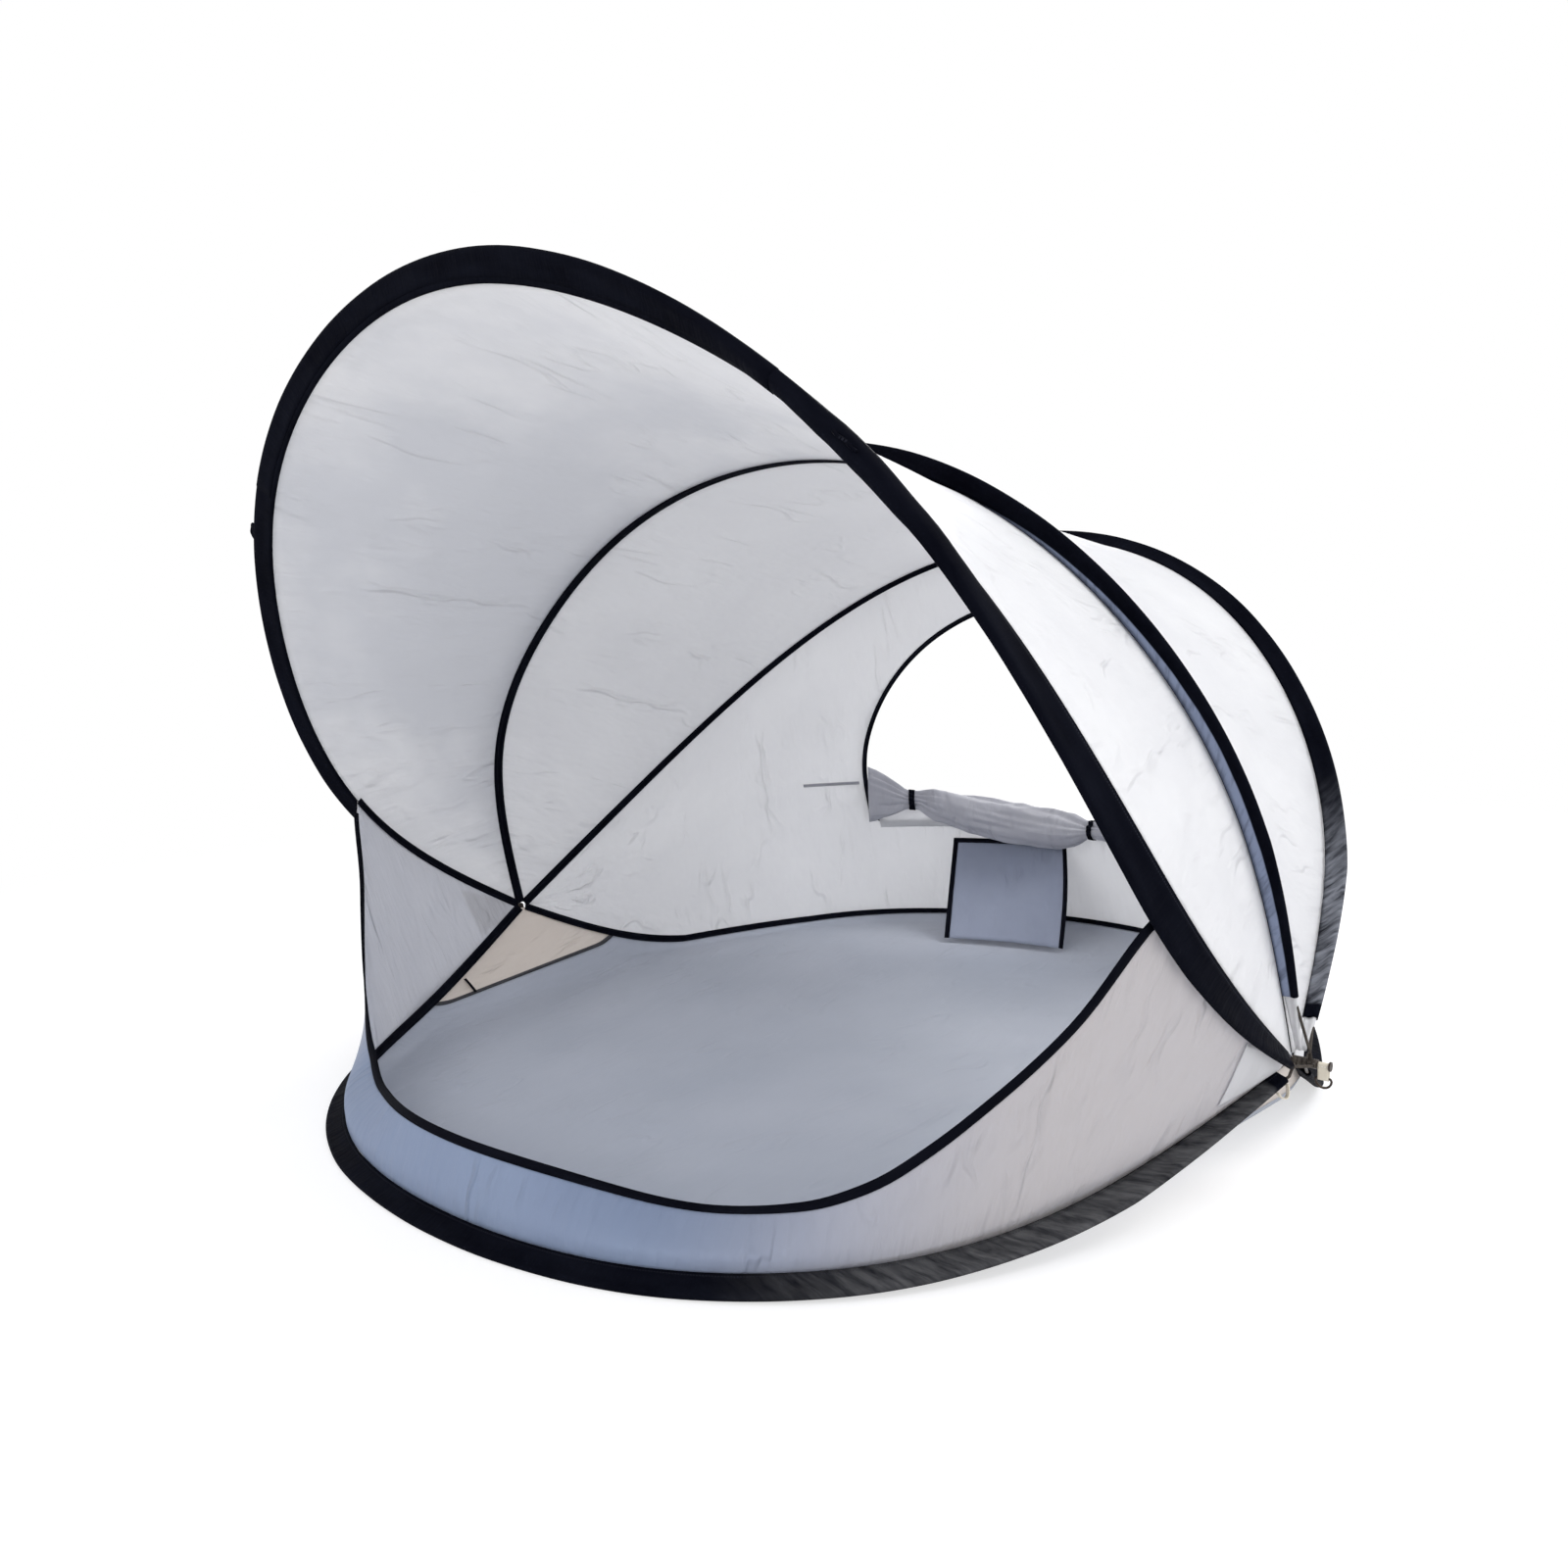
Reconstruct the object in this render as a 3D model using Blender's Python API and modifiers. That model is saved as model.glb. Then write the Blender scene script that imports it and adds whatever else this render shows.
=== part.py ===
"""A pop-up beach tent: five sprung hoops that turn on two corner pins, with the fabric sewn between them.

Metres, +Z up. The opening faces -Y, and the corner pins lie on one line along X, at y = 0.
The origin is on the ground, midway between the corners.
"""

import math

import bmesh
import bpy
import numpy as np
from mathutils import Matrix, Vector

# Overall sizes
HALF_WIDTH = 0.800
CORNER_HEIGHT = 0.155
FRONT_BASE_REACH = 0.728
CANOPY_REACH = 0.642
CANOPY_HEIGHT = 1.124
MIDDLE_BOW = 0.062
MIDDLE_HEIGHT = 0.970
BACK_REACH = 0.737
BACK_HEIGHT = 0.865
REAR_BASE_REACH = 0.965

# Wire, sleeves and cloth
WIRE_RADIUS = 0.0020
SLEEVE_WALL = 0.0009
WIRE_ROOM = 0.0005
SEAM_HALF_THICKNESS = 0.0016
BASE_SLEEVE_WIDTH = 0.031
BASE_SLEEVE_TILT = math.radians(27)
CANOPY_SLEEVE_WIDTH = 0.037
SLEEVE_FOLD_ANGLE = math.radians(14)
SKIRT_CLEAR_SHARE = 0.170
SLEEVE_END_RISE = math.radians(50)
SLEEVE_END_SHARE = 0.060
SLEEVE_TAPER_SHARE = 0.106
RIB_SLEEVE_WIDTH = 0.028
CLOTH = 0.0015
CLEARANCE = 0.0003
SKIRT_LOW_LINE = 0.016
SKIRT_LEAN_POWER = 1.6
TAPE_WIDTH = 0.015
TAPE_THICKNESS = 0.0008
# Least share of the fold's direction that leads away from either cloth
FOLD_SLACK = 0.35
FLOOR_FACET_ROOM = 0.0020
EDGE_BINDING_WIDTH = 0.012
EDGE_BINDING_THICKNESS = 0.0024

# Corner pins and what turns on them
PIN_RADIUS = 0.0025
PIN_HEAD_RADIUS = 0.0060
PIN_HEAD_THICKNESS = 0.0020
EYE_RADIUS = 0.0060
EYE_THICKNESS = 0.0054
EYE_PITCH = 0.0060
FIRST_EYE_OFFSET = 0.0030
EYE_SHANK_RADIUS = 0.0026
EYE_SHANK_REACH = 0.0130
WIRE_LEAD = 0.0030
WIRE_APPROACH = 0.0040
PIN_PLAY = 0.00005
PIN_SIDES = 16
LOOP_WIDTH = 0.0130
LOOP_THICKNESS = 0.0012
LOOP_DROP = 0.0190
RING_RADIUS = 0.0095
RING_BAR_HALF = 0.0080
RING_SHOULDER = 0.0030
RING_WIRE_RADIUS = 0.0015

# Floor
RIM_RUN = 0.060
FLOOR_EDGE_SHARE = 0.134
GUSSET_REAR_SHARE = 0.080
GUSSET_TAUTNESS = 0.5
GUSSET_STRAP_SHARES = (0.090, 0.22)
GUSSET_STRAP_WIDTH = 0.006
GUSSET_STRAP_LIFT = 0.0036
GUSSET_STRAP_START = 0.0160
PATCH_STATION_COUNT = 4
PATCH_SHARES = (0.16, 0.43, 0.70)
PATCH_THICKNESS = 0.0008

# Window, its rolled flap and the pocket
WINDOW_HALF_WIDTH = 0.430
WINDOW_SILL_HEIGHT = 0.250
WINDOW_ARCH_HEIGHT = 0.330
WINDOW_TOP_DROP = 0.120
WINDOW_TOP_HEIGHT = BACK_HEIGHT - WINDOW_TOP_DROP
WINDOW_BINDING_RADIUS = 0.0035
WALL_FACET = 0.040
ROLL_HEIGHT = 0.318
ROLL_SAG = 0.068
ROLL_DEPTH_RADIUS = 0.036
ROLL_RADIUS = 0.046
TIE_PLACES = (("left", -0.345), ("middle", 0.070), ("right", 0.345))
TIE_WIDTH = 0.012
TIE_THICKNESS = 0.0016
WALL_STRAP_LENGTH = 0.090
WALL_STRAP_WIDTH = 0.007
WALL_STRAP_HEIGHT = 0.345
WALL_STRAP_CLEAR = 0.012
POCKET_LEFT = 0.277
POCKET_WIDTH = 0.250
POCKET_HEIGHT = 0.205
POCKET_FOOT_HEIGHT = 0.014
POCKET_STAND_OFF = 0.165
POCKET_FOOT_SHIFT = 0.080
POCKET_BINDING_WIDTH = 0.010

# Crown cover on the canopy sleeve, and its tabs
CROWN_START_SHARE = 0.325
TAB_SHARE = 0.295
CROWN_WALL = 0.0008
TAB_LENGTH = 0.030
TAB_REACH = 0.010
TAB_THICKNESS = 0.0030

# Peg loops on the ends of the front base sleeve
PEG_LOOP_SHARES = (0.25, 0.90)
PEG_LOOP_REACH = 0.014
PEG_LOOP_SHOULDER_SHARE = 0.7
PEG_LOOP_DROOP = 6.0
PEG_LOOP_WIDTH = 0.005
PEG_LOOP_THICKNESS = 0.0012

# Derived sizes
HALF_CLOTH = CLOTH / 2
SLEEVE_ROUND = (WIRE_RADIUS + WIRE_ROOM + SLEEVE_WALL) / math.cos(math.pi / 8)
BASE_SEAM_HEIGHT = (BASE_SLEEVE_WIDTH - SLEEVE_ROUND) * math.sin(BASE_SLEEVE_TILT) + SLEEVE_ROUND
SEAM_INSET = HALF_CLOTH + CLEARANCE
# Share of a cloth's run that points along the sleeve before the cloth is moved aside
BESIDE_SLEEVE = 0.25
EYE_BORE = (PIN_RADIUS + PIN_PLAY) / math.cos(math.pi / PIN_SIDES)
INSIDE = Vector((0.0, 0.0, CORNER_HEIGHT + (MIDDLE_HEIGHT - CORNER_HEIGHT) / 6))

# Places along a hoop, from the right corner to its top, where everything on it has a section
HALF_STATION_SHARES = (
    0.010, 0.020, 0.031, 0.052, 0.078, 0.106, 0.134, 0.158, 0.182, 0.208, 0.235,
    0.265, 0.295, 0.325, 0.355, 0.385, 0.415, 0.445, 0.4725, 0.500,
)
STATION_SHARES = HALF_STATION_SHARES + tuple(1 - share for share in reversed(HALF_STATION_SHARES[:-1]))
COUNT = len(STATION_SHARES)
OPENING_START = HALF_STATION_SHARES.index(FLOOR_EDGE_SHARE)

# Each hoop's top, and its width, reach and rise at a quarter, a half and three quarters of the way up
HOOP_TOPS = {
    "front_base": (-FRONT_BASE_REACH, BASE_SEAM_HEIGHT),
    "canopy": (-CANOPY_REACH, CANOPY_HEIGHT),
    "middle": (-MIDDLE_BOW, MIDDLE_HEIGHT),
    "back": (BACK_REACH, BACK_HEIGHT),
    "rear_base": (REAR_BASE_REACH, BASE_SEAM_HEIGHT),
}
HOOP_SHARES = {
    "front_base": ((0.840, 0.41, 0.74), (0.643, 0.74, 0.96), (0.352, 0.94, 1.00), (0, 1.00, 1)),
    "canopy": ((1.009, 0.516, 0.264), (0.844, 0.813, 0.632), (0.483, 0.960, 0.894), (0, 1.00, 1)),
    "middle": ((0.938, 1.00, 0.393), (0.721, 0.95, 0.709), (0.389, 0.63, 0.925), (0, 0.40, 1)),
    "back": ((0.919, 0.411, 0.317), (0.713, 0.730, 0.646), (0.395, 0.931, 0.901), (0, 1.00, 1)),
    "rear_base": ((0.880, 0.33, 0.95), (0.696, 0.68, 1.00), (0.398, 0.92, 1.00), (0, 1.00, 1)),
}
HOOPS = tuple(HOOP_TOPS)
SLEEVE_WIDTHS = {
    "front_base": BASE_SLEEVE_WIDTH,
    "canopy": CANOPY_SLEEVE_WIDTH,
    "middle": RIB_SLEEVE_WIDTH,
    "back": RIB_SLEEVE_WIDTH,
    "rear_base": BASE_SLEEVE_WIDTH,
}
SLEEVE_SKIP_COUNTS = {"front_base": 0, "canopy": 0, "middle": 2, "back": 1, "rear_base": 1}
PANEL_SKIP_COUNT = 0
TAPE_SKIP_COUNT = 2
# The canopy sleeve leans from standing outwards at the top to folded forwards at the right corner
CANOPY_LEAN_DEGREES = (-55, -40, -10, 45, 75, 62, 55, 55, 50)
# From the outermost eye on a corner pin to the innermost
EYE_ORDER = ("canopy", "middle", "back", "rear_base", "front_base")
# Height of the doorway's edge on the front skirt, as a share of the way up to the canopy hoop
OPENING_SHARES = (
    (0.134, 1.00), (0.158, 0.569), (0.182, 0.375), (0.208, 0.230), (0.235, 0.129),
    (0.265, 0.079), (0.295, 0.060), (0.325, 0.052), (0.355, 0.053), (0.385, 0.059),
    (0.415, 0.066), (0.445, 0.072), (0.472, 0.074), (0.500, 0.074),
)
# How far the doorway's taut edge leans in at the same shares
OPENING_LEANS = (
    (0.134, 0.0), (0.158, -0.006), (0.182, -0.004), (0.208, 0.004), (0.235, 0.016),
    (0.265, 0.030), (0.295, 0.044), (0.325, 0.049), (0.355, 0.050), (0.385, 0.047),
    (0.415, 0.038), (0.445, 0.027), (0.472, 0.021), (0.500, 0.020),
)
# The rolled flap along its length: place, depth, height, and how far it hangs
ROLL_SHARES = (
    (-1.00, 0.26, 1.38, 0.00), (-0.92, 0.36, 0.98, 0.08), (-0.83, 0.50, 0.50, 0.13),
    (-0.77, 0.50, 0.50, 0.17), (-0.69, 0.76, 0.74, 0.29), (-0.52, 1.00, 0.98, 0.50),
    (-0.33, 1.00, 1.00, 0.70), (-0.17, 0.98, 0.97, 0.82), (-0.03, 0.92, 0.92, 0.90),
    (0.07, 0.72, 0.72, 0.96), (0.13, 0.42, 0.38, 0.98), (0.20, 0.42, 0.38, 0.98),
    (0.27, 0.42, 0.50, 0.95), (0.36, 0.50, 0.60, 0.88), (0.52, 0.70, 0.75, 0.66),
    (0.69, 0.70, 0.70, 0.38), (0.77, 0.50, 0.50, 0.24), (0.83, 0.50, 0.50, 0.18),
    (0.92, 0.36, 0.98, 0.10), (1.00, 0.26, 1.38, 0.00),
)
ROLL_SIDES = 12

COLOURS = {
    "black_fabric": ((0.012, 0.012, 0.016), 0.75, 0.0),
    "silver_fabric": ((0.78, 0.79, 0.82), 0.45, 0.0),
    "grey_fabric": ((0.52, 0.54, 0.60), 0.55, 0.0),
    "floor_fabric": ((0.36, 0.40, 0.47), 0.50, 0.0),
    "tan_fabric": ((0.62, 0.58, 0.52), 0.65, 0.0),
    "spring_steel": ((0.35, 0.35, 0.37), 0.35, 1.0),
    "dark_metal": ((0.08, 0.06, 0.05), 0.40, 1.0),
    "cream_webbing": ((0.80, 0.76, 0.66), 0.80, 0.0),
}


def clear_scene():
    for old in list(bpy.data.objects):
        bpy.data.objects.remove(old, do_unlink=True)
    for old in list(bpy.data.collections):
        bpy.data.collections.remove(old)


def new_collection(name):
    collection = bpy.data.collections.new(name)
    bpy.context.scene.collection.children.link(collection)
    return collection


def new_material(name):
    colour, roughness, metallic = COLOURS[name]
    material = bpy.data.materials.new(name)
    material.use_nodes = True
    shader = material.node_tree.nodes["Principled BSDF"]
    shader.inputs["Base Color"].default_value = (*colour, 1.0)
    shader.inputs["Roughness"].default_value = roughness
    shader.inputs["Metallic"].default_value = metallic
    return material


clear_scene()
TENT = new_collection("beach_tent")
CUTTERS = new_collection("beach_tent_cutters")
MATERIALS = {name: new_material(name) for name in COLOURS}


def hinge_empty(hoop):
    empty = bpy.data.objects.new(hoop + "_hinge", None)
    empty.location = (0.0, 0.0, CORNER_HEIGHT)
    empty.empty_display_size = HALF_WIDTH / 4
    TENT.objects.link(empty)
    return empty


HINGES = {hoop: hinge_empty(hoop) for hoop in HOOPS}


def add(name, data, material, hoop):
    """One piece of the tent, carried by a hoop's hinge, with its mesh or curve in world coordinates."""
    piece = bpy.data.objects.new(name, data)
    data.materials.append(MATERIALS[material])
    TENT.objects.link(piece)
    piece.parent = HINGES[hoop]
    piece.matrix_parent_inverse = Matrix.Translation((0.0, 0.0, -CORNER_HEIGHT))
    return piece


def add_helper(name, data):
    helper = bpy.data.objects.new(name, data)
    CUTTERS.objects.link(helper)
    helper.hide_render = True
    helper.display_type = "WIRE"
    return helper


def grid_mesh(name, rows, closed=False):
    """An open surface through rows of points. closed joins the last point of each row to its first."""
    mesh = bpy.data.meshes.new(name)
    build = bmesh.new()
    lines = [[build.verts.new(point) for point in row] for row in rows]
    for line, after in zip(lines, lines[1:]):
        for i in range(len(line) - (0 if closed else 1)):
            j = (i + 1) % len(line)
            build.faces.new((line[i], line[j], after[j], after[i]))
    if closed:
        bmesh.ops.recalc_face_normals(build, faces=build.faces)
    build.to_mesh(mesh)
    build.free()
    mesh.shade_smooth()
    mesh.set_sharp_from_angle(angle=math.radians(40))
    return mesh


def solidify(piece, thickness, offset):
    shell = piece.modifiers.new("cloth", "SOLIDIFY")
    shell.thickness = thickness
    shell.offset = offset
    shell.use_even_offset = True
    shell.use_quality_normals = True


def sheet(name, rows, thickness, material, hoop):
    """Cloth, tape or strap: a surface through rows of points, thickened evenly to both sides."""
    piece = add(name, grid_mesh(name, rows), material, hoop)
    solidify(piece, thickness, 0.0)
    return piece


def tube(name, points, radius, material, hoop, rounds=1, closed=False):
    curve = bpy.data.curves.new(name, "CURVE")
    curve.dimensions = "3D"
    curve.bevel_depth = radius
    curve.bevel_resolution = rounds
    curve.use_fill_caps = not closed
    spline = curve.splines.new("POLY")
    spline.points.add(len(points) - 1)
    for place, point in zip(spline.points, points):
        place.co = (*point, 1.0)
    spline.use_cyclic_u = closed
    return add(name, curve, material, hoop)


def cylinder_mesh(name, start, end, radius, sides):
    """A capped cylinder from start to end."""
    axis = Vector(end) - Vector(start)
    turn = axis.to_track_quat("Z", "Y").to_matrix().to_4x4()
    place = Matrix.Translation((Vector(start) + Vector(end)) / 2) @ turn
    mesh = bpy.data.meshes.new(name)
    build = bmesh.new()
    bmesh.ops.create_cone(
        build, cap_ends=True, segments=sides, radius1=radius, radius2=radius, depth=axis.length, matrix=place
    )
    build.to_mesh(mesh)
    build.free()
    mesh.shade_smooth()
    mesh.set_sharp_from_angle(angle=math.radians(40))
    return mesh


def join_or_cut(piece, other, operation):
    step = piece.modifiers.new(other.name, "BOOLEAN")
    step.operation = operation
    step.object = other
    step.solver = "EXACT"


def spline_bends(points):
    """Second differences of the natural cubic through equally spaced points."""
    count = len(points)
    matrix = np.eye(count)
    right = np.zeros((count, 3))
    for i in range(1, count - 1):
        matrix[i, i - 1 : i + 2] = (1, 4, 1)
        right[i] = 6 * (points[i + 1] - 2 * points[i] + points[i - 1])
    return np.linalg.solve(matrix, right)


def on_spline(points, bends, share):
    place = min(max(share, 0.0), 1.0) * (len(points) - 1)
    i = min(int(place), len(points) - 2)
    far = place - i
    near = 1 - far
    straight = near * points[i] + far * points[i + 1]
    curved = ((near**3 - near) * bends[i] + (far**3 - far) * bends[i + 1]) / 6
    return Vector(straight + curved)


def hoop_outline(hoop):
    """The seam of a hoop, right corner to left corner: nine points that a smooth curve runs through."""
    reach, top = HOOP_TOPS[hoop]
    half = [(HALF_WIDTH, 0.0, CORNER_HEIGHT)]
    for width, along, rise in HOOP_SHARES[hoop]:
        half.append((width * HALF_WIDTH, along * reach, CORNER_HEIGHT + rise * (top - CORNER_HEIGHT)))
    return np.array(half + [(-x, y, z) for x, y, z in reversed(half[:-1])])


def square_to(vector, along):
    """The unit part of a vector that is square to another."""
    return (vector - vector.dot(along) * along).normalized()


def turn_from(start, side, vector):
    """The angle of a vector round a hoop, from the sleeve's direction towards side: 0 to a full turn."""
    return math.atan2(vector.dot(side), vector.dot(start)) % (2 * math.pi)


def interpolate(table, share):
    """A value from a table of (share, value), the same on both halves."""
    share = min(share, 1 - share)
    places = [place for place, _ in table]
    return float(np.interp(share, places, [value for _, value in table]))


class Hoop:
    """Places along one hoop at each station: the seam, the sleeve's width direction and the wire."""

    def __init__(self, name):
        self.name = name
        points = hoop_outline(name)
        bends = spline_bends(points)
        step = STATION_SHARES[1] - STATION_SHARES[0]
        self.seam = [on_spline(points, bends, share) for share in STATION_SHARES]
        if name.endswith("base"):
            for place in self.seam:
                place.z = max(place.z, BASE_SEAM_HEIGHT)
        self.along = [
            (on_spline(points, bends, share + step / 8) - on_spline(points, bends, share - step / 8)).normalized()
            for share in STATION_SHARES
        ]
        if name.endswith("base"):
            for place, line in zip(self.seam, self.along):
                if place.z == BASE_SEAM_HEIGHT:
                    line.z = 0.0
                    line.normalize()
        self.widths = [self.width(share) for share in STATION_SHARES]

    def width(self, share):
        """The sleeve narrows to half towards the corners."""
        near = min(share, 1 - share) / SLEEVE_TAPER_SHARE
        return SLEEVE_WIDTHS[self.name] * (1 + min(near, 1.0)) / 2

    def set_directions(self, after, before):
        """out: from the seam across the sleeve. side: square to it, towards the next hoop."""
        self.after = after
        self.before = before
        self.out = []
        self.side = []
        for i, (place, along) in enumerate(zip(self.seam, self.along)):
            if self.name.endswith("base"):
                level = along.cross(Vector((0, 0, 1)))
                level *= math.copysign(1.0, level.dot(Vector((place.x, place.y, 0))))
                level.normalize()
                out = level * math.cos(BASE_SLEEVE_TILT) - Vector((0, 0, 1)) * math.sin(BASE_SLEEVE_TILT)
            elif self.name == "canopy":
                ahead = square_to(place - after.seam[i], along)
                away = square_to(along.cross(ahead), along)
                away *= math.copysign(1.0, away.dot(place - INSIDE))
                lean = math.radians(
                    np.interp(STATION_SHARES[i], np.linspace(0, 1, len(CANOPY_LEAN_DEGREES)), CANOPY_LEAN_DEGREES)
                )
                # Where the skirt reaches this hoop, the sleeve stays on its outside
                skirt = square_to(before.seam[i] - place, along)
                fold = math.atan2(skirt.dot(away), skirt.dot(ahead)) + SLEEVE_FOLD_ANGLE
                near = min(STATION_SHARES[i], 1 - STATION_SHARES[i])
                fold += SLEEVE_END_RISE * max(1 - near / SLEEVE_END_SHARE, 0.0)
                if near < SKIRT_CLEAR_SHARE:
                    lean = max(lean, fold)
                out = ahead * math.cos(lean) + away * math.sin(lean)
            else:
                out = place - INSIDE
            out = square_to(out, along)
            side = along.cross(out).normalized()
            if turn_from(out, side, after.seam[i] - place) > turn_from(out, side, before.seam[i] - place):
                side = -side
            self.out.append(out)
            self.side.append(side)

    def wire(self, i):
        return self.seam[i] + self.out[i] * (self.widths[i] - SLEEVE_ROUND)

    def edge(self, i, towards):
        """Where cloth ends at the seam: towards is 1 for the next hoop's side and -1 for the last one's."""
        neighbour = self.after if towards > 0 else self.before
        run = square_to(neighbour.seam[i] - self.seam[i], self.along[i])
        # Cloth that runs back beside the sleeve starts clear of it
        beside = min(max(1 + run.dot(self.out[i]) / BESIDE_SLEEVE, 0.0), 1.0)
        apart = (HALF_CLOTH + CLEARANCE / 2) * (1 - beside) + (SEAM_HALF_THICKNESS + SEAM_INSET) * beside
        return self.seam[i] - self.out[i] * SEAM_INSET + self.side[i] * (towards * apart)

    def edge_between(self, share, towards):
        """The same at any share, on the straight runs between stations."""
        i = min(max(int(np.searchsorted(STATION_SHARES, share)) - 1, 0), COUNT - 2)
        part = (share - STATION_SHARES[i]) / (STATION_SHARES[i + 1] - STATION_SHARES[i])
        return self.edge(i, towards).lerp(self.edge(i + 1, towards), part)


def make_hoops():
    hoops = [Hoop(name) for name in HOOPS]
    for i, hoop in enumerate(hoops):
        hoop.set_directions(hoops[(i + 1) % len(hoops)], hoops[i - 1])
    return {hoop.name: hoop for hoop in hoops}


def sleeve_section(hoop, i, grow=0.0):
    """A teardrop: flat at the seam, round about the wire. grow widens it all round."""
    seam, out, side = hoop.seam[i], hoop.out[i], hoop.side[i]
    centre = hoop.widths[i] - SLEEVE_ROUND
    wide = SLEEVE_ROUND + grow
    corner = wide * math.cos(math.pi / 4)
    half = SEAM_HALF_THICKNESS + grow
    section = ((0.0, half), (centre, wide), (centre + corner, corner), (centre + wide, 0.0))
    section += ((centre + corner, -corner), (centre, -wide), (0.0, -half))
    return [seam + out * across + side * up for across, up in section]


def make_sleeve(hoop):
    start = SLEEVE_SKIP_COUNTS[hoop.name]
    rows = [sleeve_section(hoop, i) for i in range(start, COUNT - start)]
    name = hoop.name + "_sleeve"
    piece = add(name, grid_mesh(name, rows, closed=True), "black_fabric", hoop.name)
    solidify(piece, SLEEVE_WALL, -1.0)


def eye_centre(hoop_name, side):
    slot = len(EYE_ORDER) - 1 - EYE_ORDER.index(hoop_name)
    return Vector((side * (HALF_WIDTH + FIRST_EYE_OFFSET + slot * EYE_PITCH), 0.0, CORNER_HEIGHT))


def shank_point(hoop, side, reach):
    """A place on the eye's shank, which is square to the pin and points at where the wire enters the sleeve."""
    start = SLEEVE_SKIP_COUNTS[hoop.name]
    centre = eye_centre(hoop.name, side)
    first = hoop.wire(start if side > 0 else COUNT - 1 - start)
    return centre + square_to(first - centre, Vector((1, 0, 0))) * reach


def make_wire(hoop):
    """The spring wire, from the shank of one eye to that of the other."""
    start = SLEEVE_SKIP_COUNTS[hoop.name]
    inside = [hoop.wire(i) for i in range(start, COUNT - start)]
    first = EYE_SHANK_REACH + CLEARANCE
    starts, ends = (
        [shank_point(hoop, side, reach) for reach in (first, first + WIRE_LEAD)] for side in (1, -1)
    )
    # The wire is in line with the sleeve before it enters it
    near = inside[0] - hoop.along[start] * WIRE_APPROACH
    far = inside[-1] + hoop.along[COUNT - 1 - start] * WIRE_APPROACH
    points = starts + [near] + inside + [far] + list(reversed(ends))
    tube(hoop.name + "_wire", points, WIRE_RADIUS, "spring_steel", hoop.name)


def make_eyes(hoop, bores):
    """The eye at each end of the wire: a ring on the corner pin with a shank that the wire is crimped into."""
    for side, label in ((1, "right"), (-1, "left")):
        centre = eye_centre(hoop.name, side)
        half = Vector((EYE_THICKNESS / 2, 0, 0))
        name = f"{hoop.name}_wire_eye_{label}"
        ring = cylinder_mesh(name, centre - half, centre + half, EYE_RADIUS, PIN_SIDES)
        piece = add(name, ring, "spring_steel", hoop.name)
        tip = shank_point(hoop, side, EYE_SHANK_REACH)
        shank = add_helper(name + "_shank", cylinder_mesh(name, centre, tip, EYE_SHANK_RADIUS, 8))
        join_or_cut(piece, shank, "UNION")
        join_or_cut(piece, bores[side], "DIFFERENCE")


def pin_ends(side):
    """Where the two heads of a corner pin start, measured out from the middle of the eyes."""
    room = EYE_THICKNESS / 2 + CLEARANCE
    inner = eye_centre(EYE_ORDER[-1], side).x - side * room
    outer = eye_centre(EYE_ORDER[0], side).x + side * (room + LOOP_WIDTH + CLEARANCE)
    return inner, outer


def make_corner(side, label):
    """The pin, and the webbing loop with its ring that hangs on the pin's outer end."""
    inner, outer = pin_ends(side)
    level = Vector((0, 0, CORNER_HEIGHT))
    across = Vector((side, 0, 0))
    start = Vector((inner, 0, 0)) + level
    end = Vector((outer, 0, 0)) + level
    name = "corner_pin_" + label
    # The pin runs on into each head, so that the union makes one body
    into = across * (PIN_HEAD_THICKNESS / 2)
    pin = cylinder_mesh(name, start - into, end + into, PIN_RADIUS, PIN_SIDES)
    piece = add(name, pin, "dark_metal", "front_base")
    for part, place, away in (("inner", start, -across), ("outer", end, across)):
        head = cylinder_mesh(name, place, place + away * PIN_HEAD_THICKNESS, PIN_HEAD_RADIUS, PIN_SIDES)
        join_or_cut(piece, add_helper(f"{name}_{part}_head", head), "UNION")
    loop_middle = Vector((outer - side * (CLEARANCE + LOOP_WIDTH / 2), 0, 0)) + level
    make_webbing_loop(loop_middle, label)
    drop = Vector((0, 0, LOOP_DROP - LOOP_THICKNESS - CLEARANCE - RING_WIRE_RADIUS))
    bar = loop_middle - drop
    outline = [(-RING_BAR_HALF, 0.0), (RING_BAR_HALF, 0.0)]
    outline += [
        (RING_RADIUS * math.cos(turn), -RING_SHOULDER - RING_RADIUS * math.sin(turn))
        for turn in np.linspace(0, math.pi, 9)
    ]
    points = [bar + Vector((x, 0, z)) for x, z in outline]
    tube("corner_ring_" + label, points, RING_WIRE_RADIUS, "dark_metal", "front_base", closed=True)


def make_webbing_loop(middle, label):
    """A flat band round the pin that hangs down and carries the ring."""
    top = PIN_RADIUS + CLEARANCE + LOOP_THICKNESS / 2
    low = RING_WIRE_RADIUS + CLEARANCE + LOOP_THICKNESS / 2
    half = LOOP_WIDTH / 2
    bottom = LOOP_DROP - LOOP_THICKNESS / 2 - low
    outline = [(top * math.cos(a), top * math.sin(a)) for a in np.linspace(0, math.pi, 7)]
    outline += [(-low * math.cos(a), -bottom - low * math.sin(a)) for a in np.linspace(0, math.pi, 7)]
    rows = [
        [middle + Vector((offset, y, z)) for y, z in outline]
        for offset in (-half, half)
    ]
    name = "corner_webbing_" + label
    piece = add(name, grid_mesh(name, rows, closed=True), "cream_webbing", "front_base")
    solidify(piece, LOOP_THICKNESS, 0.0)


def panel_rows(lower, upper, first, last, count):
    """Rows from one hoop's seam to the next one's, over a run of stations."""
    rows = []
    for i in range(first, last):
        start = lower.edge(i, 1)
        end = upper.edge(i, -1)
        rows.append([start.lerp(end, share) for share in np.linspace(0, 1, count)])
    return rows


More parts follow.
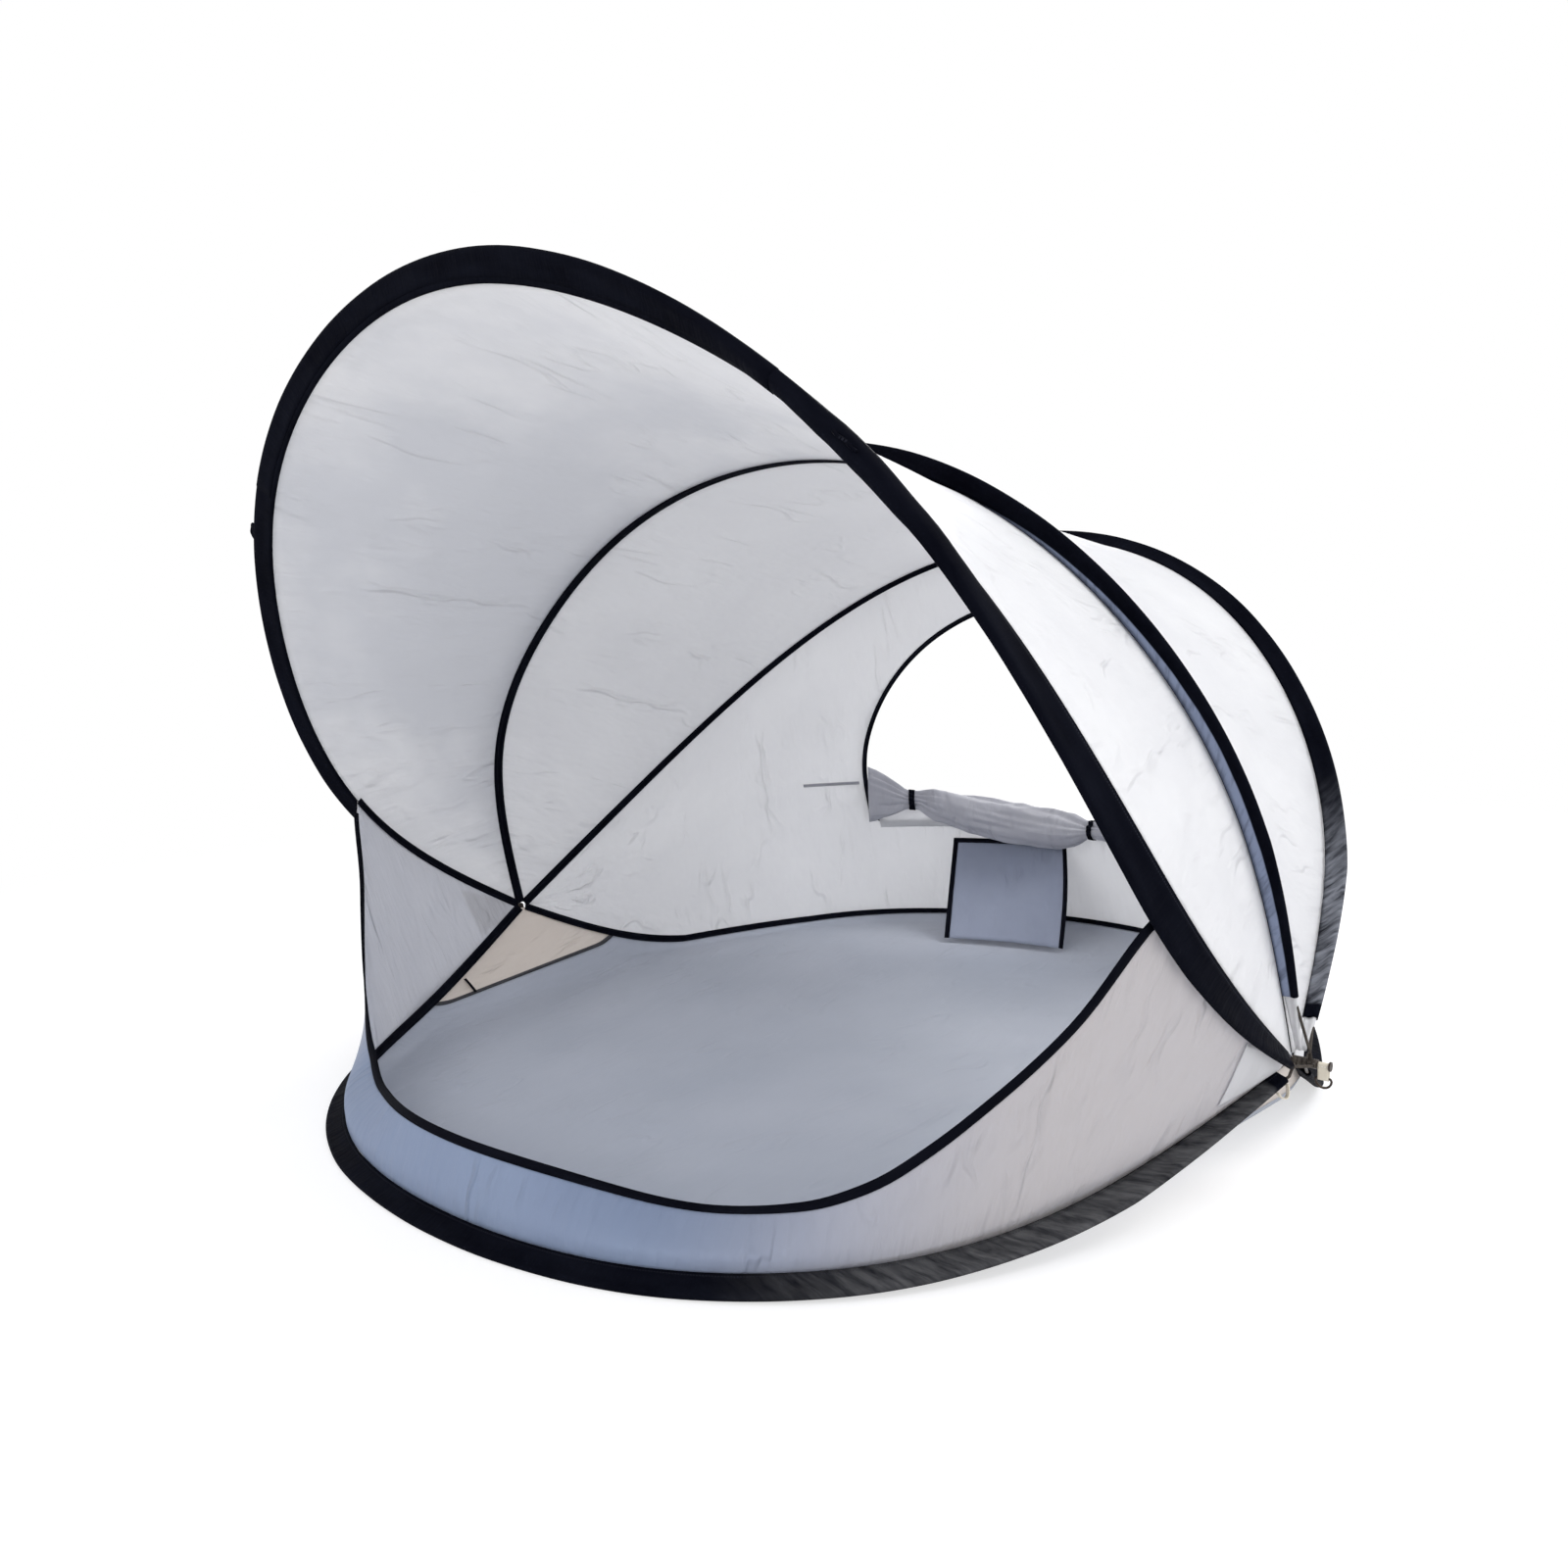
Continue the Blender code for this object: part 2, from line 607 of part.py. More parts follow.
def opening_share(i):
    return interpolate(OPENING_SHARES, STATION_SHARES[i])


def opening_lean(hoop, i):
    """How the doorway's edge leans in over the base hoop, level."""
    inwards = square_to(Vector((0, 0, hoop.seam[i].z)) - hoop.seam[i], hoop.along[i])
    inwards.z = 0
    return inwards.normalized() * interpolate(OPENING_LEANS, STATION_SHARES[i])


def make_canopy_and_middle(hoops):
    span = (PANEL_SKIP_COUNT, COUNT - PANEL_SKIP_COUNT)
    canopy = panel_rows(hoops["canopy"], hoops["middle"], *span, 4)
    sheet("canopy_panel", canopy, CLOTH, "silver_fabric", "canopy")
    middle = panel_rows(hoops["middle"], hoops["back"], *span, 4)
    sheet("roof_panel", middle, CLOTH, "silver_fabric", "middle")


def make_front_skirt(hoops):
    """The low front wall and its two side triangles, which run up to the canopy hoop."""
    low, high = hoops["front_base"], hoops["canopy"]
    rows = []
    binding = []
    for i in range(PANEL_SKIP_COUNT, COUNT - PANEL_SKIP_COUNT):
        start = low.edge(i, 1)
        end = high.edge(i, -1)
        top = 1.0
        lean = Vector()
        opening = OPENING_START < i < COUNT - 1 - OPENING_START
        if opening:
            top = opening_share(i)
            lean = opening_lean(low, i)
        low_line = SKIRT_LOW_LINE / (end - start).length
        rows.append([start])
        for up_share in (0.0, 0.5, 1.0):
            place = start.lerp(end, low_line + (top - low_line) * up_share)
            rows[-1].append(place + lean * up_share**SKIRT_LEAN_POWER)
        if OPENING_START <= i <= COUNT - 1 - OPENING_START:
            edge = rows[-1][-1]
            up = (edge - rows[-1][-2]).normalized()
            binding.append((edge, up, opening))
    sheet("front_skirt", rows, CLOTH, "grey_fabric", "front_base")
    make_opening_binding(binding)


def make_opening_binding(edge):
    """Black tape along the doorway's edge, from one side of the canopy hoop to the other."""
    inner = edge[1:-1]
    places = [place for place, _, _ in inner]
    rows = []
    for i, (place, up, _) in enumerate(inner):
        before = places[max(i - 1, 0)]
        after = places[min(i + 1, len(places) - 1)]
        along = (after - before).normalized()
        across = square_to(up, along)
        low = place + across * (CLEARANCE * 2)
        rows.append([low, low + across * EDGE_BINDING_WIDTH])
    sheet("doorway_binding", rows, EDGE_BINDING_THICKNESS, "black_fabric", "front_base")


def ground_profile(start, end, tautness):
    """A line of floor cloth, front to back: down off one seam, flat on the ground, and up to the other."""
    length = (end - start).length
    run = RIM_RUN / length
    shares = (0.0, run / 3, run * 2 / 3, run, 0.5, 1 - run, 1 - run * 2 / 3, 1 - run / 3, 1.0)
    line = []
    for share in shares:
        point = start.lerp(end, share)
        near = min(share, 1 - share)
        fall = max(1 - near / run, 0.0)
        height = start.z if share < 0.5 else end.z
        resting = HALF_CLOTH + (height - HALF_CLOTH) * fall**2
        point.z = point.z * tautness + resting * (1 - tautness)
        line.append(point)
    return line


def rear_share(share):
    """The place on the rear base hoop that faces a place on the front one."""
    near = min(share, 1 - share)
    if near < FLOOR_EDGE_SHARE:
        facing = near / FLOOR_EDGE_SHARE * GUSSET_REAR_SHARE
    else:
        part = (near - FLOOR_EDGE_SHARE) / (0.5 - FLOOR_EDGE_SHARE)
        facing = GUSSET_REAR_SHARE + part * (0.5 - GUSSET_REAR_SHARE)
    return facing if share < 0.5 else 1 - facing


def front_share(rear):
    """The place on the front base hoop that faces a place on the rear one."""
    near = min(rear, 1 - rear)
    if near < GUSSET_REAR_SHARE:
        facing = near / GUSSET_REAR_SHARE * FLOOR_EDGE_SHARE
    else:
        part = (near - GUSSET_REAR_SHARE) / (0.5 - GUSSET_REAR_SHARE)
        facing = FLOOR_EDGE_SHARE + part * (0.5 - FLOOR_EDGE_SHARE)
    return facing if rear < 0.5 else 1 - facing


def tautness_at(share):
    """How far the ground cloth is stretched clear of the ground: all the way at the corner, not at all on the floor."""
    return max(1 - min(share, 1 - share) / FLOOR_EDGE_SHARE, 0.0) ** GUSSET_TAUTNESS


def ground_run(hoops, hoop, i):
    """The way in which the ground cloth leaves a base seam at a station."""
    share = STATION_SHARES[i]
    if hoop.name == "front_base":
        line = floor_line(hoops, share, tautness_at(share))
        return line[1] - line[0]
    share = front_share(share)
    line = floor_line(hoops, share, tautness_at(share))
    return line[-2] - line[-1]


def floor_line(hoops, share, tautness):
    front = hoops["front_base"].edge_between(share, -1)
    rear = hoops["rear_base"].edge_between(rear_share(share), 1)
    return ground_profile(front, rear, tautness)


def make_floor(hoops):
    first = OPENING_START
    shares = STATION_SHARES[first : COUNT - first]
    rows = [floor_line(hoops, share, 0.0) for share in shares]
    # The outermost lines stand clear of the gussets
    for line, side in ((rows[0], 1), (rows[-1], -1)):
        chord = line[-1] - line[0]
        chord.z = 0
        inwards = square_to(Vector((-side, 0, 0)), chord.normalized())
        for point in line:
            point += inwards * (HALF_CLOTH + CLEARANCE)
    sheet("floor_sheet", rows, CLOTH, "floor_fabric", "front_base")


def make_gussets(hoops):
    """The triangle at each side between the floor's edge and the corner."""
    for side, label in ((1, "right"), (-1, "left")):
        rows = []
        for share in STATION_SHARES[TAPE_SKIP_COUNT : OPENING_START + 1]:
            rows.append(floor_line(hoops, share if side > 0 else 1 - share, tautness_at(share)))
        sheet("gusset_" + label, rows, CLOTH, "tan_fabric", "front_base")


def make_gusset_straps(hoops):
    """A short strap over each gusset, from the base seam to the floor's edge."""
    up = Vector((0, 0, 1))
    for side, label in ((1, "right"), (-1, "left")):
        on_seam, on_edge = GUSSET_STRAP_SHARES
        edge = FLOOR_EDGE_SHARE
        if side < 0:
            on_seam, edge = 1 - on_seam, 1 - edge
        chord = floor_line(hoops, edge, 0.0)
        end = chord[0].lerp(chord[-1], on_edge)
        end.z = HALF_CLOTH
        seam = hoops["front_base"].edge_between(on_seam, -1)
        start = seam.lerp(end, GUSSET_STRAP_START / (end - seam).length)
        across = square_to(up.cross(end - start), (end - start).normalized()) * (GUSSET_STRAP_WIDTH / 2)
        lift = up * GUSSET_STRAP_LIFT
        rows = [
            [start.lerp(end, share) + lift - across, start.lerp(end, share) + lift + across]
            for share in np.linspace(0, 1, 3)
        ]
        sheet("gusset_strap_" + label, rows, TAPE_THICKNESS, "grey_fabric", "front_base")


def make_corner_patches(hoops):
    """The white cloth that backs the skirt at each corner, outside."""
    low, high = hoops["front_base"], hoops["canopy"]
    for label, stations in (("right", range(PATCH_STATION_COUNT)), ("left", range(COUNT - PATCH_STATION_COUNT, COUNT))):
        rows = []
        for i in stations:
            start = low.edge(i, 1)
            end = high.edge(i, -1)
            outwards = square_to(square_to(start - INSIDE, low.along[i]), (end - start).normalized())
            lift = outwards * (CLOTH + CLEARANCE)
            rows.append([start.lerp(end, share) + lift for share in PATCH_SHARES])
        sheet("corner_patch_" + label, rows, PATCH_THICKNESS, "silver_fabric", "front_base")


def make_peg_loops(hoop):
    """A webbing loop at each end of the front base sleeve, for a peg."""
    for label, first in (("right", 0), ("left", COUNT - 2)):
        rows = []
        for part in PEG_LOOP_SHARES:
            place = hoop.seam[first].lerp(hoop.seam[first + 1], part)
            out = hoop.out[first].lerp(hoop.out[first + 1], part).normalized()
            width = hoop.widths[first] + (hoop.widths[first + 1] - hoop.widths[first]) * part
            rows.append((place + out * (width + 2 * CLEARANCE + PEG_LOOP_THICKNESS), out))
        middle = (rows[0][0] + rows[1][0]) / 2
        out = (rows[0][1] + rows[1][1]) / 2 - Vector((0, 0, PEG_LOOP_DROOP))
        out = square_to(out, hoop.along[first])
        up = hoop.along[first].cross(out).normalized()
        shoulder = out * PEG_LOOP_REACH * PEG_LOOP_SHOULDER_SHARE
        arch = [rows[0][0], rows[0][0] + shoulder, middle + out * PEG_LOOP_REACH]
        arch += [rows[1][0] + shoulder, rows[1][0]]
        strips = [[place - up * PEG_LOOP_WIDTH / 2, place + up * PEG_LOOP_WIDTH / 2] for place in arch]
        sheet("peg_loop_" + label, strips, PEG_LOOP_THICKNESS, "cream_webbing", "front_base")


def make_back_wall(hoops):
    rows = panel_rows(hoops["back"], hoops["rear_base"], PANEL_SKIP_COUNT, COUNT - PANEL_SKIP_COUNT, 6)
    wall = sheet("back_wall", rows, CLOTH, "silver_fabric", "back")
    join_or_cut(wall, window_cutter(), "DIFFERENCE")
    return rows


def window_outline(inset, count=13):
    """The window in front view: level sill, straight jambs and an elliptical arch."""
    wide = WINDOW_HALF_WIDTH - inset
    rise = WINDOW_TOP_HEIGHT - WINDOW_ARCH_HEIGHT - inset
    sill = WINDOW_SILL_HEIGHT + inset
    points = [
        (wide * math.cos(turn), WINDOW_ARCH_HEIGHT + rise * math.sin(turn))
        for turn in np.linspace(0, math.pi, 2 * count - 1)
    ]
    points += [(-wide + 2 * wide * share, sill) for share in np.linspace(0, 1, 17)]
    return points


def window_cutter():
    outline = window_outline(0.0)
    near, far = BACK_REACH / 2, REAR_BASE_REACH * 1.2
    mesh = bpy.data.meshes.new("window_cutter")
    build = bmesh.new()
    face = build.faces.new([build.verts.new((x, near, z)) for x, z in outline])
    pushed = bmesh.ops.extrude_face_region(build, geom=[face])
    for vert in (item for item in pushed["geom"] if isinstance(item, bmesh.types.BMVert)):
        vert.co.y = far
    bmesh.ops.recalc_face_normals(build, faces=build.faces)
    build.to_mesh(mesh)
    build.free()
    return add_helper("window_cutter", mesh)


def wall_at(rows, x, z):
    """The place on the back wall's middle surface at x and z, and its unit normal towards the inside."""
    best = None
    for row, after in zip(rows, rows[1:]):
        for i in range(len(row) - 1):
            corners = (row[i], row[i + 1], after[i + 1], after[i])
            for a, b, c in ((0, 1, 2), (0, 2, 3)):
                p, q, r = corners[a], corners[b], corners[c]
                area = (q.x - p.x) * (r.z - p.z) - (r.x - p.x) * (q.z - p.z)
                if not area:
                    continue
                u = ((x - p.x) * (r.z - p.z) - (r.x - p.x) * (z - p.z)) / area
                v = ((q.x - p.x) * (z - p.z) - (x - p.x) * (q.z - p.z)) / area
                miss = max(-u, -v, u + v - 1)
                if best is None or miss < best[0]:
                    normal = (q - p).cross(r - p).normalized()
                    best = (miss, p + (q - p) * u + (r - p) * v, normal * -math.copysign(1.0, normal.y))
    return best[1], best[2]


def wall_frame(rows, x, z):
    """The place on the back wall and its normal there, evened out over the facets round it."""
    place, normal = wall_at(rows, x, z)
    for dx, dz in ((-1, 0), (1, 0), (0, -1), (0, 1)):
        normal = normal + wall_at(rows, x + dx * WALL_FACET, z + dz * WALL_FACET)[1]
    return place, normal.normalized()


def make_window_binding(rows):
    points = []
    for x, z in window_outline(WINDOW_BINDING_RADIUS + CLEARANCE):
        place, _ = wall_at(rows, x, z)
        points.append(Vector((x, place.y, z)))
    tube("window_binding", points, WINDOW_BINDING_RADIUS, "black_fabric", "back", closed=True)


def roll_centre(rows, place, depth, hang):
    """The middle of the rolled flap at a place along it, standing just off the wall."""
    x = place * WINDOW_HALF_WIDTH
    z = ROLL_HEIGHT - ROLL_SAG * hang
    on_wall, normal = wall_frame(rows, x, z)
    stand_off = WINDOW_BINDING_RADIUS + TIE_THICKNESS + 2 * CLEARANCE
    return on_wall + normal * (depth + stand_off), normal


def roll_sections(rows):
    sections = []
    for place, deep, high, hang in ROLL_SHARES:
        depth = deep * ROLL_DEPTH_RADIUS
        centre, normal = roll_centre(rows, place, depth, hang)
        up = square_to(Vector((0, 0, 1)), normal)
        ring = [
            centre + normal * (depth * math.cos(turn)) + up * (high * ROLL_RADIUS * math.sin(turn))
            for turn in np.linspace(0, 2 * math.pi, ROLL_SIDES, endpoint=False)
        ]
        sections.append(ring)
    return sections


def make_roll(sections):
    """The window's flap, rolled up along the sill and drawn in at its ties."""
    name = "rolled_window_flap"
    mesh = grid_mesh(name, sections, closed=True)
    build = bmesh.new()
    build.from_mesh(mesh)
    bmesh.ops.holes_fill(build, edges=build.edges)
    bmesh.ops.recalc_face_normals(build, faces=build.faces)
    build.to_mesh(mesh)
    build.free()
    mesh.shade_smooth()
    add(name, mesh, "grey_fabric", "back")


def make_tie(sections, place, label):
    """A band round the rolled flap, where the flap is drawn in."""
    places = [entry[0] for entry in ROLL_SHARES]
    share = place / WINDOW_HALF_WIDTH
    half = TIE_WIDTH / WINDOW_HALF_WIDTH / 2
    room = CLEARANCE * 2 + TIE_THICKNESS / 2
    i = int(np.searchsorted(places, share)) - 1
    bands = []
    for edge in (share - half, share + half):
        part = (edge - places[i]) / (places[i + 1] - places[i])
        ring = [a.lerp(b, part) for a, b in zip(sections[i], sections[i + 1])]
        centre = sum(ring, Vector()) / len(ring)
        bands.append([point + (point - centre).normalized() * room for point in ring])
    name = "roll_tie_" + label
    piece = add(name, grid_mesh(name, bands, closed=True), "black_fabric", "back")
    solidify(piece, TIE_THICKNESS, 0.0)


def make_wall_strap(rows):
    """A loose tape sewn beside the window, to tie its flap."""
    start = -WINDOW_HALF_WIDTH - WALL_STRAP_CLEAR
    lines = []
    for x in np.linspace(start, start - WALL_STRAP_LENGTH, 4):
        line = []
        for z in (WALL_STRAP_HEIGHT - WALL_STRAP_WIDTH / 2, WALL_STRAP_HEIGHT + WALL_STRAP_WIDTH / 2):
            place, normal = wall_at(rows, x, z)
            line.append(place + normal * (HALF_CLOTH + 2 * CLEARANCE + TAPE_THICKNESS / 2))
        lines.append(line)
    sheet("wall_strap", lines, TAPE_THICKNESS, "grey_fabric", "back")


def pocket_point(rows, across, down):
    """A place on the pocket: across and down are shares of its width and of its height."""
    x = -POCKET_LEFT + across * POCKET_WIDTH
    head, normal = wall_at(rows, x, POCKET_HEIGHT)
    head = head + normal * (HALF_CLOTH + 2 * CLEARANCE + HALF_CLOTH)
    foot = Vector((x + POCKET_FOOT_SHIFT, head.y - POCKET_STAND_OFF, POCKET_FOOT_HEIGHT))
    return head.lerp(foot, down)


def make_pocket(rows):
    """The pocket below the window hangs from its top edge, out to the floor."""
    side = POCKET_BINDING_WIDTH / POCKET_WIDTH
    cap = POCKET_BINDING_WIDTH / POCKET_HEIGHT
    apart = CLEARANCE / POCKET_WIDTH
    fall = np.linspace(cap + apart, 1, 5)
    places = list(np.linspace(side + apart, 1 - side - apart, 5))
    body = [[pocket_point(rows, across, down) for down in fall] for across in places]
    sheet("pocket", body, CLOTH, "grey_fabric", "back")
    for label, low, high in (("left", 0.0, side), ("right", 1 - side, 1.0)):
        strip = [[pocket_point(rows, across, down) for down in fall] for across in (low, high)]
        sheet("pocket_binding_" + label, strip, CLOTH, "black_fabric", "back")
    top = [[pocket_point(rows, across, down) for down in (0.0, cap)] for across in [0.0] + places + [1.0]]
    sheet("pocket_binding_top", top, CLOTH, "black_fabric", "back")


def tape_section(hoops, hoop, i, after, before):
    """Three points across a seam tape that lies in the fold between the cloth on both sides of a hoop."""
    along = hoop.along[i]
    inward = square_to(INSIDE - hoop.seam[i], along)
    lift = HALF_CLOTH + 2 * CLEARANCE + TAPE_THICKNESS / 2
    flats = []
    faces = []
    for neighbour, towards in ((after, 1), (before, -1)):
        edge = hoop.edge(i, towards)
        on_ground = hoop.name.endswith("base") and neighbour.name.endswith("base")
        lead = ground_run(hoops, hoop, i) if on_ground else neighbour.edge(i, -towards) - edge
        run = square_to(lead, along)
        normal = square_to(inward, run)
        flats.append(edge + run * (TAPE_WIDTH / 2) + normal * (lift + (FLOOR_FACET_ROOM if on_ground else 0)))
        faces.append((edge, normal))
    middle = (faces[0][1] + faces[1][1]).normalized()
    centre = (faces[0][0] + faces[1][0]) / 2
    # The fold stands clear of both cloths
    reach = max(
        (lift + HALF_CLOTH - (centre - edge).dot(normal)) / max(middle.dot(normal), FOLD_SLACK)
        for edge, normal in faces
    )
    return [flats[0], centre + middle * reach, flats[1]]


def make_tape(name, hoops, hoop, after, before, stations):
    rows = [tape_section(hoops, hoop, i, after, before) for i in stations]
    sheet(name, rows, TAPE_THICKNESS, "black_fabric", hoop.name)


def make_tapes(hoops):
    whole = range(TAPE_SKIP_COUNT, COUNT - TAPE_SKIP_COUNT)
    names = list(HOOPS)
    for name in ("middle", "back", "rear_base", "front_base"):
        i = names.index(name)
        after = hoops[names[(i + 1) % len(names)]]
        make_tape(name + "_seam_tape", hoops, hoops[name], after, hoops[names[i - 1]], whole)
    right = range(TAPE_SKIP_COUNT, OPENING_START)
    left = range(COUNT - OPENING_START, COUNT - TAPE_SKIP_COUNT)
    for label, stations in (("right", right), ("left", left)):
        between = (hoops["middle"], hoops["front_base"])
        make_tape("canopy_seam_tape_" + label, hoops, hoops["canopy"], *between, stations)


def make_crown(hoop):
    """A second layer over the top of the canopy sleeve, and the tab at each of its ends."""
    first = HALF_STATION_SHARES.index(CROWN_START_SHARE)
    last = COUNT - 1 - first
    grow = CLEARANCE * 2 + CROWN_WALL
    rows = [sleeve_section(hoop, i, grow)[1:-1] for i in range(first, last + 1)]
    sheet("canopy_crown_cover", rows, CROWN_WALL, "black_fabric", "canopy")


def make_tabs(hoop):
    first = HALF_STATION_SHARES.index(TAB_SHARE)
    for label, i in (("right", first), ("left", COUNT - 1 - first)):
        half = hoop.along[i] * (TAB_LENGTH / 2)
        start = hoop.seam[i] + hoop.out[i] * (hoop.widths[i] + CLEARANCE * 3)
        rows = [[start + step, start + step + hoop.out[i] * TAB_REACH] for step in (-half, half)]
        sheet("crown_tab_" + label, rows, TAB_THICKNESS, "black_fabric", "canopy")


def main():
    hoops = make_hoops()
    bores = {}
    for side, label in ((1, "right"), (-1, "left")):
        inner, outer = pin_ends(side)
        start = Vector((inner - side * EYE_PITCH, 0, CORNER_HEIGHT))
        end = Vector((outer + side * EYE_PITCH, 0, CORNER_HEIGHT))
        bores[side] = add_helper("pin_bore_" + label, cylinder_mesh("bore", start, end, EYE_BORE, PIN_SIDES))
        make_corner(side, label)
    for hoop in hoops.values():
        make_sleeve(hoop)
        make_wire(hoop)
        make_eyes(hoop, bores)
    make_canopy_and_middle(hoops)
    make_front_skirt(hoops)
    make_floor(hoops)
    make_gussets(hoops)
    make_gusset_straps(hoops)
    make_corner_patches(hoops)
    make_peg_loops(hoops["front_base"])
    wall = make_back_wall(hoops)
    make_window_binding(wall)
    sections = roll_sections(wall)
    make_roll(sections)
    for label, place in TIE_PLACES:
        make_tie(sections, place, label)
    make_wall_strap(wall)
    make_pocket(wall)
    make_tapes(hoops)
    make_crown(hoops["canopy"])
    make_tabs(hoops["canopy"])


main()
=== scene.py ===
"""The visible beach tent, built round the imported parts. Metres, +Z up, the doorway towards -Y."""

import math
from functools import cached_property, partial

import bpy
import numpy as np
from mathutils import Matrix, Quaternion, Vector, noise
from mathutils.bvhtree import BVHTree


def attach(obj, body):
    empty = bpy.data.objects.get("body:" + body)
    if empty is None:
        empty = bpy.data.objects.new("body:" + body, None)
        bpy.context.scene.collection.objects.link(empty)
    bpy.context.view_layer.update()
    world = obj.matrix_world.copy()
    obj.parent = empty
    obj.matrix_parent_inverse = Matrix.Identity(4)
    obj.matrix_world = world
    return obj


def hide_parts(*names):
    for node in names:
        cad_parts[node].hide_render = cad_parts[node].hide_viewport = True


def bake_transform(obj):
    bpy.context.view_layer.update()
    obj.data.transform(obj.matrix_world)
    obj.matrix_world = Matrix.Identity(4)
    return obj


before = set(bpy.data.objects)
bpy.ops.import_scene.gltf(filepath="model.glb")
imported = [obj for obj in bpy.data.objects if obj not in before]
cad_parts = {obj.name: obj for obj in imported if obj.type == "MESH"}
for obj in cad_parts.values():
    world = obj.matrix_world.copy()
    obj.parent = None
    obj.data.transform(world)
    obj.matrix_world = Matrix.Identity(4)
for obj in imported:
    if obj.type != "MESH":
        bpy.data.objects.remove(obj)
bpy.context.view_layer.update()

ROOT = "front_base_and_floor"
BODIES = {
    "front_base": ROOT, "canopy": "canopy_hoop", "middle": "middle_hoop", "back": "back_hoop",
    "rear_base": "rear_base_hoop",
}

# The hoops' shapes, as in the parts: each one's top (y, z), and its places from the corner to the top as shares of
# half the width, of the top's y and of its rise
HALF_WIDTH = 0.800
CORNER_HEIGHT = 0.155
BASE_SEAM_HEIGHT = 0.0164
HOOP_TOPS = {
    "front_base": (-0.728, BASE_SEAM_HEIGHT),
    "canopy": (-0.642, 1.124),
    "middle": (-0.062, 0.970),
    "back": (0.737, 0.865),
    "rear_base": (0.965, BASE_SEAM_HEIGHT),
}
HOOP_SHARES = {
    "front_base": ((0.840, 0.41, 0.74), (0.643, 0.74, 0.96), (0.352, 0.94, 1.00), (0, 1.00, 1)),
    "canopy": ((1.009, 0.516, 0.264), (0.844, 0.813, 0.632), (0.483, 0.960, 0.894), (0, 1.00, 1)),
    "middle": ((0.938, 1.00, 0.393), (0.721, 0.95, 0.709), (0.389, 0.63, 0.925), (0, 0.40, 1)),
    "back": ((0.919, 0.411, 0.317), (0.713, 0.730, 0.646), (0.395, 0.931, 0.901), (0, 1.00, 1)),
    "rear_base": ((0.880, 0.33, 0.95), (0.696, 0.68, 1.00), (0.398, 0.92, 1.00), (0, 1.00, 1)),
}
# Sleeves: how wide, how far they turn, and how thick
WIDTHS = {"front_base": 0.031, "canopy": 0.037, "middle": 0.028, "back": 0.028, "rear_base": 0.031}
TAPER_SHARE = 0.106
CANOPY_LEAN = np.radians((-55, -40, -10, 45, 75, 62, 55, 55, 50))
BASE_TILT = math.radians(27)
SLEEVE_FOLD = math.radians(14)
SLEEVE_FOLD_SHARE = 0.170
SLEEVE_END_RISE = math.radians(50)
SLEEVE_END_SHARE = 0.060
SLEEVE_ROUND = 0.0037
SEAM_HALF = 0.0016
HALF_CLOTH = 0.00075
INSET = 0.00105
# Cloth that heads away from the sleeve by this much, as a cosine, starts in the seam and not beside it
BESIDE = 0.25
SEAM_GAP = 0.00015
# A place inside the tent, which all the hoops look away from
INSIDE = np.array((0.0, 0.0, 0.291))
# The doorway's edge on the front skirt: share of the hoop, share of the way up, lean inwards
OPENING = (
    (0.134, 1.00, 0.0), (0.158, 0.569, -0.006), (0.182, 0.375, -0.004), (0.208, 0.230, 0.004),
    (0.235, 0.129, 0.016), (0.265, 0.079, 0.030), (0.295, 0.060, 0.044), (0.325, 0.052, 0.049),
    (0.355, 0.053, 0.050), (0.385, 0.059, 0.047), (0.415, 0.066, 0.038), (0.445, 0.072, 0.027),
    (0.472, 0.074, 0.021), (0.500, 0.074, 0.020),
)
SKIRT_LOW_LINE = 0.016
SKIRT_LEAN_POWER = 1.6
# The floor's corners, as shares of the front and of the rear base hoop, and how wide its raised rim is
OPENING_START = 0.134
GUSSET_REAR = 0.080
RIM_RUN = 0.060
UP = np.array((0.0, 0.0, 1.0))
SIDES = ((1, "right"), (-1, "left"))

# Stations along each hoop, closer together near the corners
COUNT = 241
FIRST_SHARE = 0.003
CROWDING = 0.35
EVEN = np.linspace(0, 1, COUNT)
SHARES = FIRST_SHARE + (1 - 2 * FIRST_SHARE) * (EVEN - CROWDING * np.sin(2 * math.pi * EVEN) / (2 * math.pi))


def unit(v):
    return v / np.maximum(np.linalg.norm(v, axis=-1, keepdims=True), 1e-9)


def dot(a, b):
    return np.sum(a * b, axis=-1, keepdims=True)


def square_to(v, along):
    return unit(v - dot(v, along) * along)


def curve(points, shares):
    """The natural cubic through equally spaced points."""
    count = len(points)
    matrix = np.eye(count)
    right = np.zeros((count, 3))
    for i in range(1, count - 1):
        matrix[i, i - 1 : i + 2] = (1, 4, 1)
        right[i] = 6 * (points[i + 1] - 2 * points[i] + points[i - 1])
    bends = np.linalg.solve(matrix, right)
    place = np.clip(shares, 0, 1) * (count - 1)
    i = np.minimum(place.astype(int), count - 2)
    far = (place - i)[:, None]
    near = 1 - far
    bent = ((near**3 - near) * bends[i] + (far**3 - far) * bends[i + 1]) / 6
    return near * points[i] + far * points[i + 1] + bent


def near_end(shares):
    return np.minimum(shares, 1 - shares)


def from_corner(side, shares):
    """Shares counted from the right corner (side 1) or the left one (-1)."""
    return shares if side > 0 else 1 - shares


